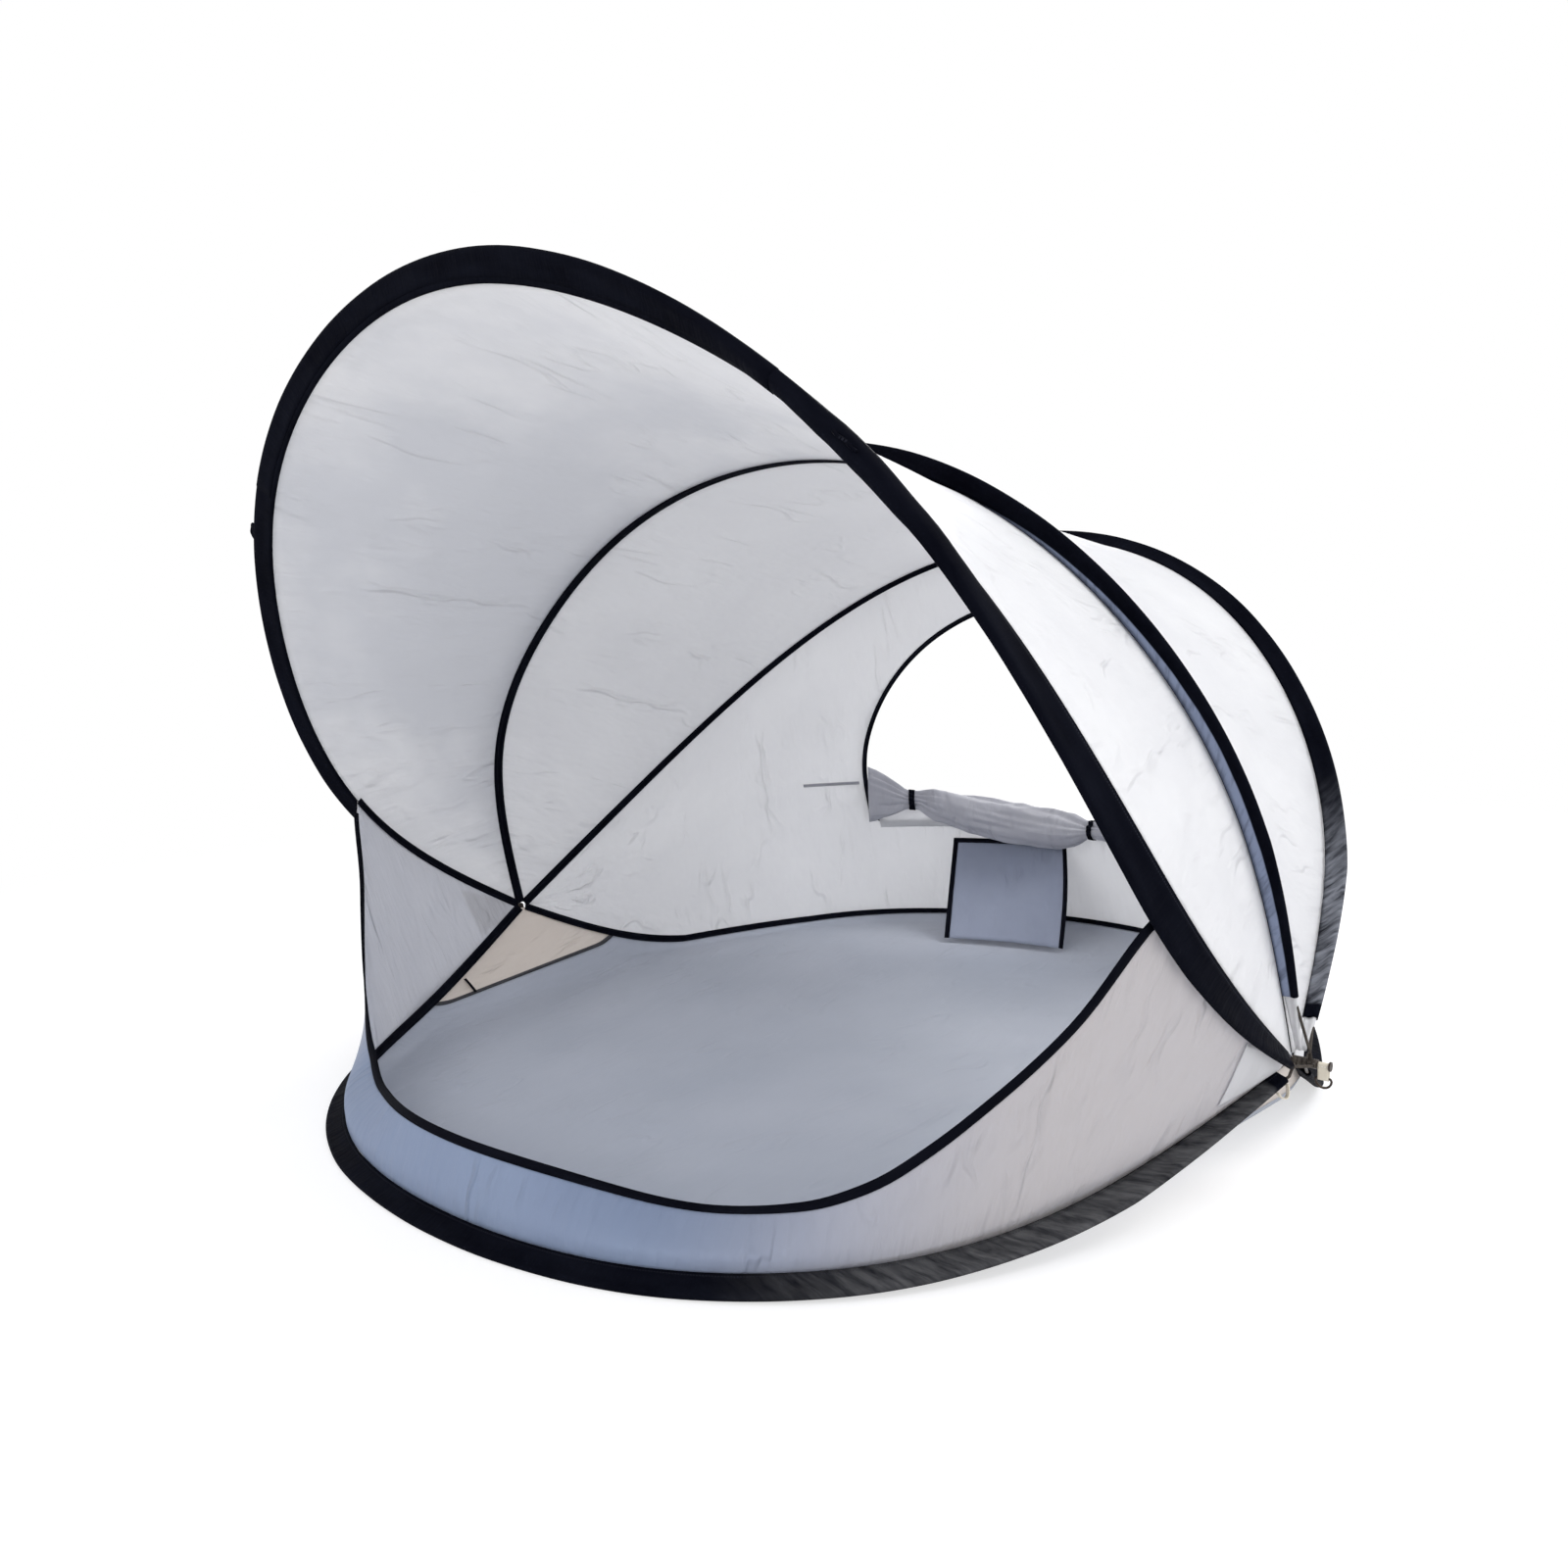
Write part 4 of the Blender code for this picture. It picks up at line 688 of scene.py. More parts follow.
def make_sleeves():
    for k, (name, hoop) in enumerate(hoops.items()):
        first = SLEEVE_FROM[name]
        p = sleeve_section(hoop, 10 + 5 * k)[stretch_of(first, 1 - first)]
        piece = grid(name + "_cover", p, SLEEVES.get(name, SLEEVE), closed=True)
        thicken(piece, CLOTH, ONE_SIDE)
        ride(piece, name, "black_fabric", name + "_sleeve")


def at_share_of(hoop, towards, share):
    """Where cloth ends at a hoop's seam, at some shares of it."""
    return at_share(hoops[hoop].edge(towards), share)


# The back wall, and places on it

WINDOW_HALF_WIDTH = 0.430
WINDOW_SILL = 0.250
WINDOW_ARCH = 0.330
WINDOW_TOP = 0.745
LOOP = 320
# Metres of UV along and down the whole wall
WALL_RUN, WALL_RISE = 2.7, 0.72


class Wall:
    """The back wall's surface: a fine grid between the back hoop and the rear base one."""

    def __init__(self):
        p, shares = span_between("back", "rear_base", np.linspace(0, 1, 41))
        self.p = taut(p, shares, 0.006, 0.005, 51)
        self.rows = p.shape[1]
        quads, _ = lattice(COUNT, self.rows, p)
        self.faces = [half for a, b, c, d in quads for half in ((a, b, c), (a, c, d))]
        self.tree = BVHTree.FromPolygons([tuple(q) for q in self.p.reshape(-1, 3)], self.faces)

    def find(self, x, z):
        """(place on the wall, its unit normal into the tent, station, share of the way down)"""
        place, normal, index, _ = self.tree.ray_cast(Vector((x, 0.25, z)), Vector((0, 1, 0)))
        if place is None:
            place, normal, index, _ = self.tree.find_nearest(Vector((x, 0.9, z)))
        normal = normal * -math.copysign(1.0, normal.y)
        a, b, c = (np.array(divmod(k, self.rows), float) for k in self.faces[index])
        pa, pb, pc = (self.p[int(k[0]), int(k[1])] for k in (a, b, c))
        solved = np.linalg.lstsq(np.stack([pb - pa, pc - pa], axis=1), np.array(place) - pa, rcond=None)[0]
        station, down = a + solved[0] * (b - a) + solved[1] * (c - a)
        return np.array(place), np.array(normal), station, down / (self.rows - 1)

    def at(self, station, down):
        """Places on the wall from stations and shares of the way down, between the grid's points."""
        station = np.clip(station, 0, COUNT - 1.0001)
        row = np.clip(down, 0, 1) * (self.rows - 1.0001)
        i, j = station.astype(int), row.astype(int)
        a, b = (station - i)[..., None], (row - j)[..., None]
        low = self.p[i, j] * (1 - a) + self.p[i + 1, j] * a
        high = self.p[i, j + 1] * (1 - a) + self.p[i + 1, j + 1] * a
        return low * (1 - b) + high * b


def window_outline(inset):
    """The window in front view: elliptical arch, short jambs, round lower corners and a level sill."""
    wide = WINDOW_HALF_WIDTH - inset
    rise = WINDOW_TOP - WINDOW_ARCH - inset
    turns = np.linspace(0, math.pi, 400)
    points = [(wide * math.cos(a), WINDOW_ARCH + rise * math.sin(a)) for a in turns]
    sill, corner = WINDOW_SILL + inset, 0.030
    for middle, first in ((-wide + corner, math.pi), (wide - corner, 1.5 * math.pi)):
        for a in np.linspace(first, first + math.pi / 2, 30):
            points.append((middle + corner * math.cos(a), sill + corner + corner * math.sin(a)))
    points = np.array(points + points[:1])
    run = np.concatenate([[0], np.cumsum(np.linalg.norm(np.diff(points, axis=0), axis=1))])
    even = np.linspace(0, run[-1], LOOP, endpoint=False)
    return np.stack([np.interp(even, run, points[:, k]) for k in range(2)], axis=1)


wall = Wall()


def make_back_wall():
    shape = np.array([wall.find(x, z)[2:] for x, z in window_outline(0.0)]) / (COUNT - 1, 1)
    centre = (shape.min(axis=0) + shape.max(axis=0)) / 2
    away = shape - centre
    # Out to the border along the line from the window's middle
    reach = (np.where(away > 0, 1 - centre, centre) / np.maximum(abs(away), 1e-6)).min(axis=1)
    outer = centre + away * reach[:, None]
    both = shape[:, None] + (outer - shape)[:, None] * np.linspace(0, 1, 25)[None, :, None]
    station, down = both[:, :, 0] * (COUNT - 1), both[:, :, 1]
    p = wall.at(station, down)
    uv = np.stack([np.interp(station, np.arange(COUNT), SHARES) * WALL_RUN, down * WALL_RISE], axis=-1)
    piece = ring_grid("back_wall_cloth", p, uv, WHITE, seam_distance(p))
    bend_between(piece, "back", "rear_base", down)
    thicken(piece, CLOTH)
    stand_for(piece, "silver_fabric", "back_wall")


def ring_grid(name, p, uv, material, seams=None):
    """A surface whose first index runs round and closes on itself."""
    faces, uvs = lattice(*p.shape[:2], uv, ring=True)
    return mesh_piece(name, p.reshape(-1, 3), faces, uvs, material, seams)


def ride_wall(piece, shares, slot, *nodes):
    """A piece on the back wall: its place is baked into its mesh and the nodes it stands for are hidden."""
    bend_between(piece, "back", "rear_base", shares)
    stand_for(piece, slot, *nodes)


def astride(half, edge):
    """The section of a folded tape that stands astride an edge of cloth: one half of it, and how far it goes past."""
    return [*half, (edge, 0.0), *((a, -b) for a, b in reversed(half))]


def make_window_binding():
    found = [wall.find(x, z) for x, z in window_outline(0.0010)]
    centre, normal = (np.array([f[k] for f in found]) for k in (0, 1))
    along = unit(np.roll(centre, -1, axis=0) - np.roll(centre, 1, axis=0))
    inwards = square_to(np.array((0.0, 0.0, 0.5)) - centre * (1, 0, 1), along)
    inwards = square_to(inwards - dot(inwards, normal) * normal, along)
    section = astride([(-0.0075, 0.0012), (-0.003, 0.0018), (0.0015, 0.0020)], 0.0030)
    p = np.stack([centre + inwards * a + normal * b for a, b in section + section[:1]], axis=1)
    run = lengths(p[:, :-1], 0).mean(axis=1)[:, None]
    uv = np.stack(np.broadcast_arrays(run, [*np.linspace(0, 0.02, 7), 0.0]), axis=-1)
    piece = ring_grid("window_edge_binding", p, uv, BINDING)
    shares = np.repeat([f[3] for f in found], len(section) + 1)
    ride_wall(piece, shares, "black_fabric", "window_binding")


def doorway_edge():
    """(how far up the front skirt reaches, as a share of the way to the canopy hoop, and how its edge leans in)"""
    near = near_end(SHARES)
    places, *columns = np.array(OPENING).T
    tops, leans = (smooth(np.interp(near, places, column), 2) for column in columns)
    inwards = square_to(hoops["front_base"].seam * (-1, -1, 0), hoops["front_base"].along)
    open_here = near > OPENING_START
    return np.where(open_here, tops, 1.0), unit(inwards * (1, 1, 0)) * np.where(open_here, leans, 0.0)[:, None]


def make_skirt():
    tops, leans = doorway_edge()
    across = np.linspace(0, 1, 15)
    p, shares = span_between("front_base", "canopy", across, tops)
    low = SKIRT_LOW_LINE / np.linalg.norm(p[:, -1] - p[:, 0], axis=1)[:, None]
    leaning = np.clip((across[None, :] - low) / (1 - low), 0, 1) ** SKIRT_LEAN_POWER
    p = push(p, leans[:, None], leaning)
    middle = np.sin(math.pi * across)[None, :] * np.clip(tops[:, None] * 3, 0.25, 1)
    p = push(p, normals_of(p), (ripple(p, 9.0, 61) * 0.0022 + ripple(p, 24.0, 62) * 0.0007) * middle)
    piece = grid("skirt_cloth", p, SKIRT_FACE_PAINTED_LIGHTING, seams=seam_distance(p))
    bend_between(piece, "front_base", "canopy", shares)
    thicken(piece, CLOTH, back=SKIRT)
    stand_for(piece, "grey_fabric", "front_skirt")
    bind_doorway(p, tops)


def bind_doorway(p, tops):
    """The doorway's binding, on the skirt's upper edge."""
    keep = near_end(SHARES) > OPENING_START + 0.004
    edge = p[:, -1][keep]
    along = unit(np.gradient(edge, axis=0))
    up = square_to(edge - p[:, -3][keep], along)
    face = np.cross(along, up)
    section = astride([(-0.0040, 0.0013), (0.0010, 0.0016), (0.0065, 0.0014)], 0.0075)
    q = np.stack([edge + up * a + face * b for a, b in section], axis=1)
    band = grid("doorway_edge_binding", q, BINDING, closed=True, caps=True)
    weights = [*np.repeat(tops[keep], len(section)), *tops[keep][[0, -1]]]
    bend_between(band, "front_base", "canopy", weights)
    stand_for(band, "black_fabric", "doorway_binding")


# Floor and gussets

EDGE_TAUT = 0.75
EDGE_TAUT_REACH = 0.07


def facing_share(share, here, there):
    """Where the ground cloth that leaves one base hoop meets the other: their shares at the floor's corner differ."""
    near = near_end(share)
    floor = there + (near - here) / (0.5 - here) * (0.5 - there)
    facing = np.where(near < here, near / here * there, floor)
    return np.where(share < 0.5, facing, 1 - facing)


def tautness_at(share):
    """How far the ground cloth follows the straight line between its hoops: all the way in the corners."""
    near = near_end(share)
    gusset = EDGE_TAUT + (1 - EDGE_TAUT) * np.sqrt(np.maximum(1 - near / OPENING_START, 0))
    floor = EDGE_TAUT * (1 - np.clip((near - OPENING_START) / EDGE_TAUT_REACH, 0, 1)) ** 2
    return np.where(near < OPENING_START, gusset, floor)


def ground_lines(share, rims, inside):
    """Lines of ground cloth, front to back: off one seam, along the ground and up to the other."""
    start = at_share_of("front_base", -1, share)
    end = at_share_of("rear_base", 1, facing_share(share, OPENING_START, GUSSET_REAR))
    length = np.linalg.norm(end - start, axis=1)[:, None]
    run = np.minimum(RIM_RUN / length, 0.45)
    rim = np.linspace(0, 1, rims)[None, :]
    inner = np.linspace(0, 1, inside)[None, 1:-1]
    places = np.concatenate([run * rim, run + (1 - 2 * run) * inner, 1 - run * rim[:, ::-1]], axis=1)
    p = push(start[:, None], (end - start)[:, None], places)
    fall = np.maximum(1 - near_end(places) / run, 0)
    height = np.where(places < 0.5, start[:, None, 2], end[:, None, 2])
    resting = HALF_CLOTH + (height - HALF_CLOTH) * fall**2
    tautness = tautness_at(share)[:, None]
    p[:, :, 2] = p[:, :, 2] * tautness + resting * (1 - tautness)
    return p, places


def fold_weights(p):
    """Weights for the ground cloth: nothing in front of the pins, rising to nearly all towards the rear base hoop
    behind them.
    """
    back = np.clip(p[:, :, 1] / np.maximum(p[:, -1:, 1], 1e-4), 0, 1)
    turned = np.clip(back / 0.40, 0, 1)
    return 0.90 * turned * turned * (3 - 2 * turned) + 0.10 * np.clip(back / 0.93, 0, 1) ** 3


def bend_floor(piece, weights):
    bend(piece, ROOT, "floor_rear_edge", (0, -0.1, 0), (0, 0.1, 0), weights)


def make_floor():
    share = np.linspace(OPENING_START, 1 - OPENING_START, 121)
    p, places = ground_lines(share, 7, 61)
    lift = np.clip(near_end(places) / 0.06, 0, 1)
    lift *= np.clip(near_end(share)[:, None] - OPENING_START + 0.01, 0, 0.04) / 0.04
    swell = np.clip(ripple(p, 5.0, 71) + 0.1, 0, 1) * 0.0050 + np.clip(ripple(p, 15.0, 72) + 0.3, 0, 1) * 0.0010
    p[:, :, 2] += swell * lift
    piece = grid("floor_cloth", p, FLOOR)
    bend_floor(piece, fold_weights(p))
    thicken(piece, GROUNDSHEET)
    stand_for(piece, "floor_fabric", "floor_sheet")


def make_gussets():
    for side, name in SIDES:
        p, places = ground_lines(from_corner(side, np.linspace(FIRST_SHARE, OPENING_START, 33)), 5, 33)
        ends = np.sin(math.pi * places) * np.sin(math.pi * np.linspace(0.02, 0.98, 33))[:, None]
        p[:, :, 2] = np.maximum(p[:, :, 2] + np.clip(ripple(p, 16.0, 81), -1, 1) * 0.0020 * ends, 0.0006)
        piece = grid("gusset_cloth_" + name, p, TAN)
        bend_floor(piece, fold_weights(p))
        thicken(piece, CLOTH)
        stand_for(piece, "tan_fabric", "gusset_" + name)


# Seam tapes

TAPE_WIDTH = 0.015
TAPE_LIFT = 0.0014
GROUND_TAPE_LIFT = 0.0012


def ground_run(name):
    """The way in which the ground cloth leaves a base hoop's seam at each station."""
    if name == "front_base":
        p, _ = ground_lines(SHARES, 4, 5)
        return p[:, 1] - p[:, 0]
    p, _ = ground_lines(facing_share(SHARES, GUSSET_REAR, OPENING_START), 4, 5)
    return p[:, -2] - p[:, -1]


def make_tape(name, node, low, high):
    """A woven tape over the seam, inside, that lies on the cloth to both sides of it."""
    hoop = hoops[name]
    inward = square_to(INSIDE - hoop.seam, hoop.along)
    flats, faces = [], []
    for neighbour, towards in ((hoop.after, 1), (hoop.before, -1)):
        edge = hoop.edge(towards)
        ground = hoop.base and neighbour.base
        run = square_to(ground_run(name) if ground else neighbour.edge(-towards) - edge, hoop.along)
        normal = square_to(inward, run)
        flats.append(edge + run * (TAPE_WIDTH / 2) + normal * (TAPE_LIFT + (GROUND_TAPE_LIFT if ground else 0)))
        faces.append((edge, normal))
    middle = unit(faces[0][1] + faces[1][1])
    centre = (faces[0][0] + faces[1][0]) / 2
    reach = [(TAPE_LIFT + HALF_CLOTH - dot(centre - e, n)) / np.maximum(dot(middle, n), 0.35) for e, n in faces]
    fold = centre + middle * np.maximum(*reach)
    parts = np.linspace(0, 1, 9)
    p = np.stack([(1 - t) ** 2 * flats[0] + 2 * t * (1 - t) * fold + t**2 * flats[1] for t in parts], axis=1)
    piece = grid(node + "_strip", p[stretch_of(low, high)], TAPE)
    thicken(piece, WOVEN)
    if name == "rear_base":
        # The rear base tape gets shares up the back wall for its upper half, and its place baked into its mesh
        rise = np.linalg.norm(hoop.before.edge(1) - hoop.edge(-1), axis=1)[:, None]
        up_wall = np.clip(2 * parts - 1, 0, 1) * TAPE_WIDTH / 2
        bend_between(piece, "back", name, 1 - up_wall / np.maximum(rise, 0.05))
    else:
        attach(piece, BODIES[name])
    stand_for(piece, "black_fabric", node)


def make_tapes():
    for name in ("middle", "back", "rear_base", "front_base"):
        make_tape(name, name + "_seam_tape", 0, 1)
    make_tape("canopy", "canopy_seam_tape_right", 0, OPENING_START)
    make_tape("canopy", "canopy_seam_tape_left", 1 - OPENING_START, 1)


# The rolled flap, its ties, the strap and the pocket

# Place along the flap, depth, height, and how far it hangs
ROLL = np.array((
    (-1.00, 0.26, 1.38, 0.00), (-0.92, 0.36, 1.00, 0.08), (-0.83, 0.44, 0.42, 0.13),
    (-0.77, 0.44, 0.42, 0.17), (-0.69, 0.76, 0.80, 0.29), (-0.52, 1.00, 0.98, 0.50),
    (-0.33, 1.00, 1.00, 0.70), (-0.17, 0.98, 0.97, 0.82), (-0.03, 0.92, 0.92, 0.90),
    (0.07, 0.72, 0.72, 0.96), (0.13, 0.42, 0.38, 0.98), (0.20, 0.42, 0.38, 0.98),
    (0.27, 0.42, 0.50, 0.95), (0.36, 0.50, 0.60, 0.88), (0.52, 0.70, 0.75, 0.66),
    (0.69, 0.70, 0.70, 0.38), (0.77, 0.44, 0.42, 0.24), (0.83, 0.44, 0.42, 0.18),
    (0.92, 0.36, 0.98, 0.10), (1.00, 0.26, 1.38, 0.00),
))
ROLL_DEPTH = 0.036
ROLL_HEIGHT = 0.046
ROLL_TOP = 0.318
ROLL_SAG = 0.068
ROLL_SIDES = 96
ROLL_STATIONS = 161
TIES = {name: x / WINDOW_HALF_WIDTH for name, x in (("left", -0.345), ("middle", 0.070), ("right", 0.345))}
TIE_HALF = 0.006 / WINDOW_HALF_WIDTH
# How often a pleat goes round the roll, and where it starts
PLEATS = ((3, 1.3), (5, 4.1), (8, 0.7), (11, 3.4), (15, 2.2))


def along_roll(place, column):
    return np.interp(place, ROLL[:, 0], ROLL[:, column])


def roll_height(place):
    """The height of the roll's middle line, which hangs between its ends."""
    return ROLL_TOP - ROLL_SAG * along_roll(place, 3)


def roll_ring(place, grow=0.0, folds=1.0):
    """(points round the rolled flap at a place along it, share of the way down the wall there)"""
    deep, high = along_roll(place, 1) * ROLL_DEPTH, along_roll(place, 2) * ROLL_HEIGHT
    x, z = place * WINDOW_HALF_WIDTH, roll_height(place)
    on_wall, normal, _, share = wall.find(x, z)
    for dx, dz in ((-0.04, 0), (0.04, 0), (0, -0.04), (0, 0.04)):
        normal = normal + wall.find(x + dx, z + dz)[1]
    normal = unit(normal)
    centre = on_wall + normal * (deep + 0.0057)
    up = square_to(UP, normal)
    turns = np.linspace(0, 2 * math.pi, ROLL_SIDES, endpoint=False)
    gathered = max(math.exp(-(((place - tie) / 0.13) ** 2)) for tie in TIES.values())
    pleats = sum(
        np.sin(k * turns + phase + 2.2 * place * (1 + 0.2 * k)) * (0.125 * gathered + 0.030) / (1 + 0.05 * k)
        for k, phase in PLEATS
    )
    # The flap's free edge runs along the roll as a step
    edge = np.exp(-(((turns - 0.9 - 0.15 * place) % (2 * math.pi)) / 0.9)) * 0.05
    round_it = np.stack([np.full(ROLL_SIDES, 3.0 * place), 0.9 * np.cos(turns), 0.9 * np.sin(turns)], axis=1)
    rumple = ripple(round_it, 1.0, 121) - 0.8 * (np.abs(ripple(round_it, 2.1, 122)) - 0.3)
    size = 1 + folds * (pleats + edge - 0.03 + 0.20 * rumple * (1 - 0.7 * gathered))
    # No bulge goes further out into the room
    outward = np.where(size > 0.90, 0.90 + 0.07 * np.tanh((size - 0.90) / 0.14), size)
    out, rise = (deep * outward + grow) * np.cos(turns), (high * size + grow) * np.sin(turns)
    return centre + normal * out[:, None] + up * rise[:, None], share


def make_roll():
    rings, shares = zip(*[roll_ring(t) for t in np.linspace(-1, 1, ROLL_STATIONS)])
    p = np.array(rings)
    # The open ends turn in on themselves
    layers = []
    for row, near in ((0, 1), (-1, -2)):
        centre = p[row].mean(axis=0)
        into = unit(p[near].mean(axis=0) - centre)
        turned = ((0.86, 0.0), (0.80, 0.012), (0.3, 0.020))
        layers.append([centre + (p[row] - centre) * k + into * d for k, d in turned])
    p = np.concatenate([layers[0][::-1], p, layers[1]])
    piece = grid("rolled_flap_cloth", p, FLAP, closed=True, caps=True)
    ends = [shares[0], shares[-1]]
    weights = np.repeat([ends[0]] * 3 + list(shares) + [ends[1]] * 3, ROLL_SIDES)
    ride_wall(piece, [*weights, *ends], "grey_fabric", "rolled_window_flap")
    for name, place in TIES.items():
        rings, shares = zip(*[roll_ring(t, 0.0026, 0.6) for t in np.linspace(place - TIE_HALF, place + TIE_HALF, 5)])
        band = grid("tie_" + name, np.array(rings), TAPE, closed=True)
        thicken(band, WEBBING)
        ride_wall(band, np.repeat(shares, ROLL_SIDES), "black_fabric", "roll_tie_" + name)


def wall_patch(places, lift):
    """(points off the wall by lift, their shares of the way down it) for rows of x and z"""
    found = [[wall.find(x, z) for x, z in row] for row in places]
    p = np.array([[f[0] + f[1] * lift for f in row] for row in found])
    return p, np.array([[f[3] for f in row] for row in found])


def make_flap_hem():
    """The flap's foot: sewn below the sill, it goes up behind the roll."""
    columns = np.linspace(-0.975, 0.975, 61)
    places = [
        [(t * WINDOW_HALF_WIDTH, z) for z in np.linspace(WINDOW_SILL - 0.014, roll_height(t), 9)] for t in columns
    ]
    p, shares = wall_patch(places, 0.0042)
    piece = grid("flap_foot_cloth", push(p, np.array((0, -0.0006, 0)), ripple(p, 30.0, 111)), WHITE)
    thicken(piece, CLOTH)
    ride_wall(piece, shares, "silver_fabric")


def make_strap():
    places = [[(x, z) for z in np.linspace(0.3415, 0.3485, 4)] for x in np.linspace(-0.442, -0.532, 19)]
    p, shares = wall_patch(places, 0.0018)
    piece = grid("wall_strap_tape", p, GREY_TAPE)
    thicken(piece, WOVEN)
    ride_wall(piece, shares, "grey_fabric", "wall_strap")


POCKET_LEFT = -0.277
POCKET_WIDTH = 0.262
POCKET_MIDDLE = -0.155
POCKET_TOP = 0.205
POCKET_BULGE = 0.004
POCKET_OUT = np.array((0, -0.9, 0.45))


def pocket_points(across, down):
    """Places on the pocket, which hangs from its top edge out to the floor."""
    p = np.zeros((len(across), len(down), 3))
    for i, a in enumerate(across):
        x = POCKET_LEFT + a * POCKET_WIDTH
        head, normal, _, _ = wall.find(x, POCKET_TOP)
        head = head + normal * 0.0021
        foot = np.array((x + 0.080, head[1] - 0.165, 0.014))
        for j, d in enumerate(down):
            p[i, j] = head + (foot - head) * d
            p[i, j, 0] += 0.007 * a * math.sin(math.pi * d)
            sag = math.sin(math.pi * d) * math.sin(math.pi * a) ** 0.7
            p[i, j] += POCKET_OUT * (POCKET_BULGE * sag)
    return p


def make_pocket():
    share = wall.find(POCKET_MIDDLE, POCKET_TOP)[3]

    def hang(piece, down, shape, slot, node):
        """Hands a piece of the pocket to ride_wall, with shares from the wall's at its head to 1 at its foot."""
        ride_wall(piece, share + (1 - share) * np.broadcast_to(down, shape), slot, node)

    down = np.linspace(0, 1, 25)
    p = pocket_points(np.linspace(0.02, 0.98, 33), down)
    p = push(p, POCKET_OUT, ripple(p, 22.0, 91) * 0.0016 * np.sin(math.pi * down)[None, :])
    body = grid("pocket_cloth", p, POCKET)
    thicken(body, CLOTH)
    hang(body, down, p.shape[:2], "grey_fabric", "pocket")
    lift = np.array((0, -0.0012, 0.0008))
    for name, low, high in (("left", 0.0, 0.037), ("right", 0.963, 1.0)):
        q = np.swapaxes(pocket_points(np.linspace(low, high, 5), down) + lift, 0, 1)
        strip = grid("pocket_edge_" + name, q, BINDING)
        thicken(strip, DOUBLED)
        hang(strip, down[:, None], q.shape[:2], "black_fabric", "pocket_binding_" + name)
    top = np.linspace(0.0, 0.045, 5)
    q = pocket_points(np.linspace(0, 1, 33), top) + lift * 1.6
    strip = grid("pocket_edge_top", q, BINDING)
    thicken(strip, DOUBLED)
    hang(strip, top, q.shape[:2], "black_fabric", "pocket_binding_top")


# The canopy sleeve's crown cover and its tabs


def make_crown():
    hoop = hoops["canopy"]
    p = sleeve_section(hoop, 15, grow=0.0010)[stretch_of(0.325, 0.675)]
    piece = grid("crown_cover", p[:, 1:-1], SLEEVE)
    thicken(piece, WOVEN)
    ride(piece, "canopy", "black_fabric", "canopy_crown_cover")
    for side, name in SIDES:
        i = int(np.argmin(abs(SHARES - from_corner(side, 0.295))))
        along, out, hand = hoop.along[i], hoop.out[i], hoop.side[i]
        start = hoop.seam[i] + out * (hoop.width[i] + 0.0006)
        rows = []
        for t in np.linspace(-1, 1, 9):
            reach = 0.0085 - 0.0035 * t**2
            rows.append([
                start + along * 0.015 * t + out * (reach * k) + hand * 0.0008 * math.sin(5 * t + 3 * k)
                for k in (0, 0.35, 0.7, 1.0)
            ])
        tab = grid("crown_tab_cloth_" + name, np.array(rows), BINDING)
        thicken(tab, TAB)
        ride(tab, "canopy", "black_fabric", "crown_tab_" + name)


# The corners: webbing loops, patches and straps


def at(values, share):
    """The point, or the number, at one share."""
    return at_share(values.reshape(COUNT, -1), share)[0].squeeze()


RIBBON_COLUMNS = 5


def ribbon(name, middle, across, width, thickness, material):
    """A strip of webbing along a line of points."""
    places = np.linspace(-0.5, 0.5, RIBBON_COLUMNS)
    piece = grid(name, np.array([[m + across * (width * t) for t in places] for m in middle]), material)
    thicken(piece, thickness)
    return piece


# The band round each pin: its place, the radii of its two turns and how far the lower one hangs
WEBBING_X = 0.8365
PIN_TURN, RING_TURN = 0.0034, 0.0024
WEBBING_DROP = 0.016


def make_webbing(side, name):
    """A band of webbing sewn round the corner pin, which carries the ring."""
    turns = np.linspace(0, math.pi, 13)
    steps = np.linspace(0.1, 0.9, 8)
    ring = [(PIN_TURN * math.cos(a), PIN_TURN * math.sin(a)) for a in turns]
    ring += [(-0.0032 + 0.0008 * t, -WEBBING_DROP * t) for t in steps]
    ring += [(-RING_TURN * math.cos(a), -WEBBING_DROP - RING_TURN * math.sin(a)) for a in turns]
    ring += [(RING_TURN + 0.0008 * t, -WEBBING_DROP * (1 - t)) for t in steps]
    middle = np.array((side * WEBBING_X, 0.0, CORNER_HEIGHT))
    rows = [[middle + np.array((x, y, z)) for y, z in ring] for x in np.linspace(-0.0063, 0.0063, 7)]
    piece = grid("corner_webbing_band_" + name, np.array(rows), CREAM, closed=True)
    thicken(piece, WEBBING)
    ride(piece, "front_base", "cream_webbing", "corner_webbing_" + name)


def make_peg_loop(side, name):
    """A loop of webbing on the end of the front base sleeve, for a peg."""
    hoop = hoops["front_base"]
    shares = (0.0125, 0.0190) if side > 0 else (0.9825, 0.9890)
    outs = [at(hoop.out, share) for share in shares]
    start, end = (at(hoop.seam, share) + out * (at(hoop.width, share) + 0.0018) for share, out in zip(shares, outs))
    along = at(hoop.along, shares[0])
    out = square_to((outs[0] + outs[1]) / 2 - 6.0 * UP, along)
    turns = np.linspace(0, 1, 25)
    middle = [start + (end - start) * t + out * (0.0138 * math.sin(math.pi * t) ** 0.55) for t in turns]
    piece = ribbon("peg_loop_webbing_" + name, middle, unit(np.cross(along, out)), 0.005, WEBBING, CREAM)
    ride(piece, "front_base", "cream_webbing", "peg_loop_" + name)


PATCH_FROM, PATCH_TO = 0.010, 0.052


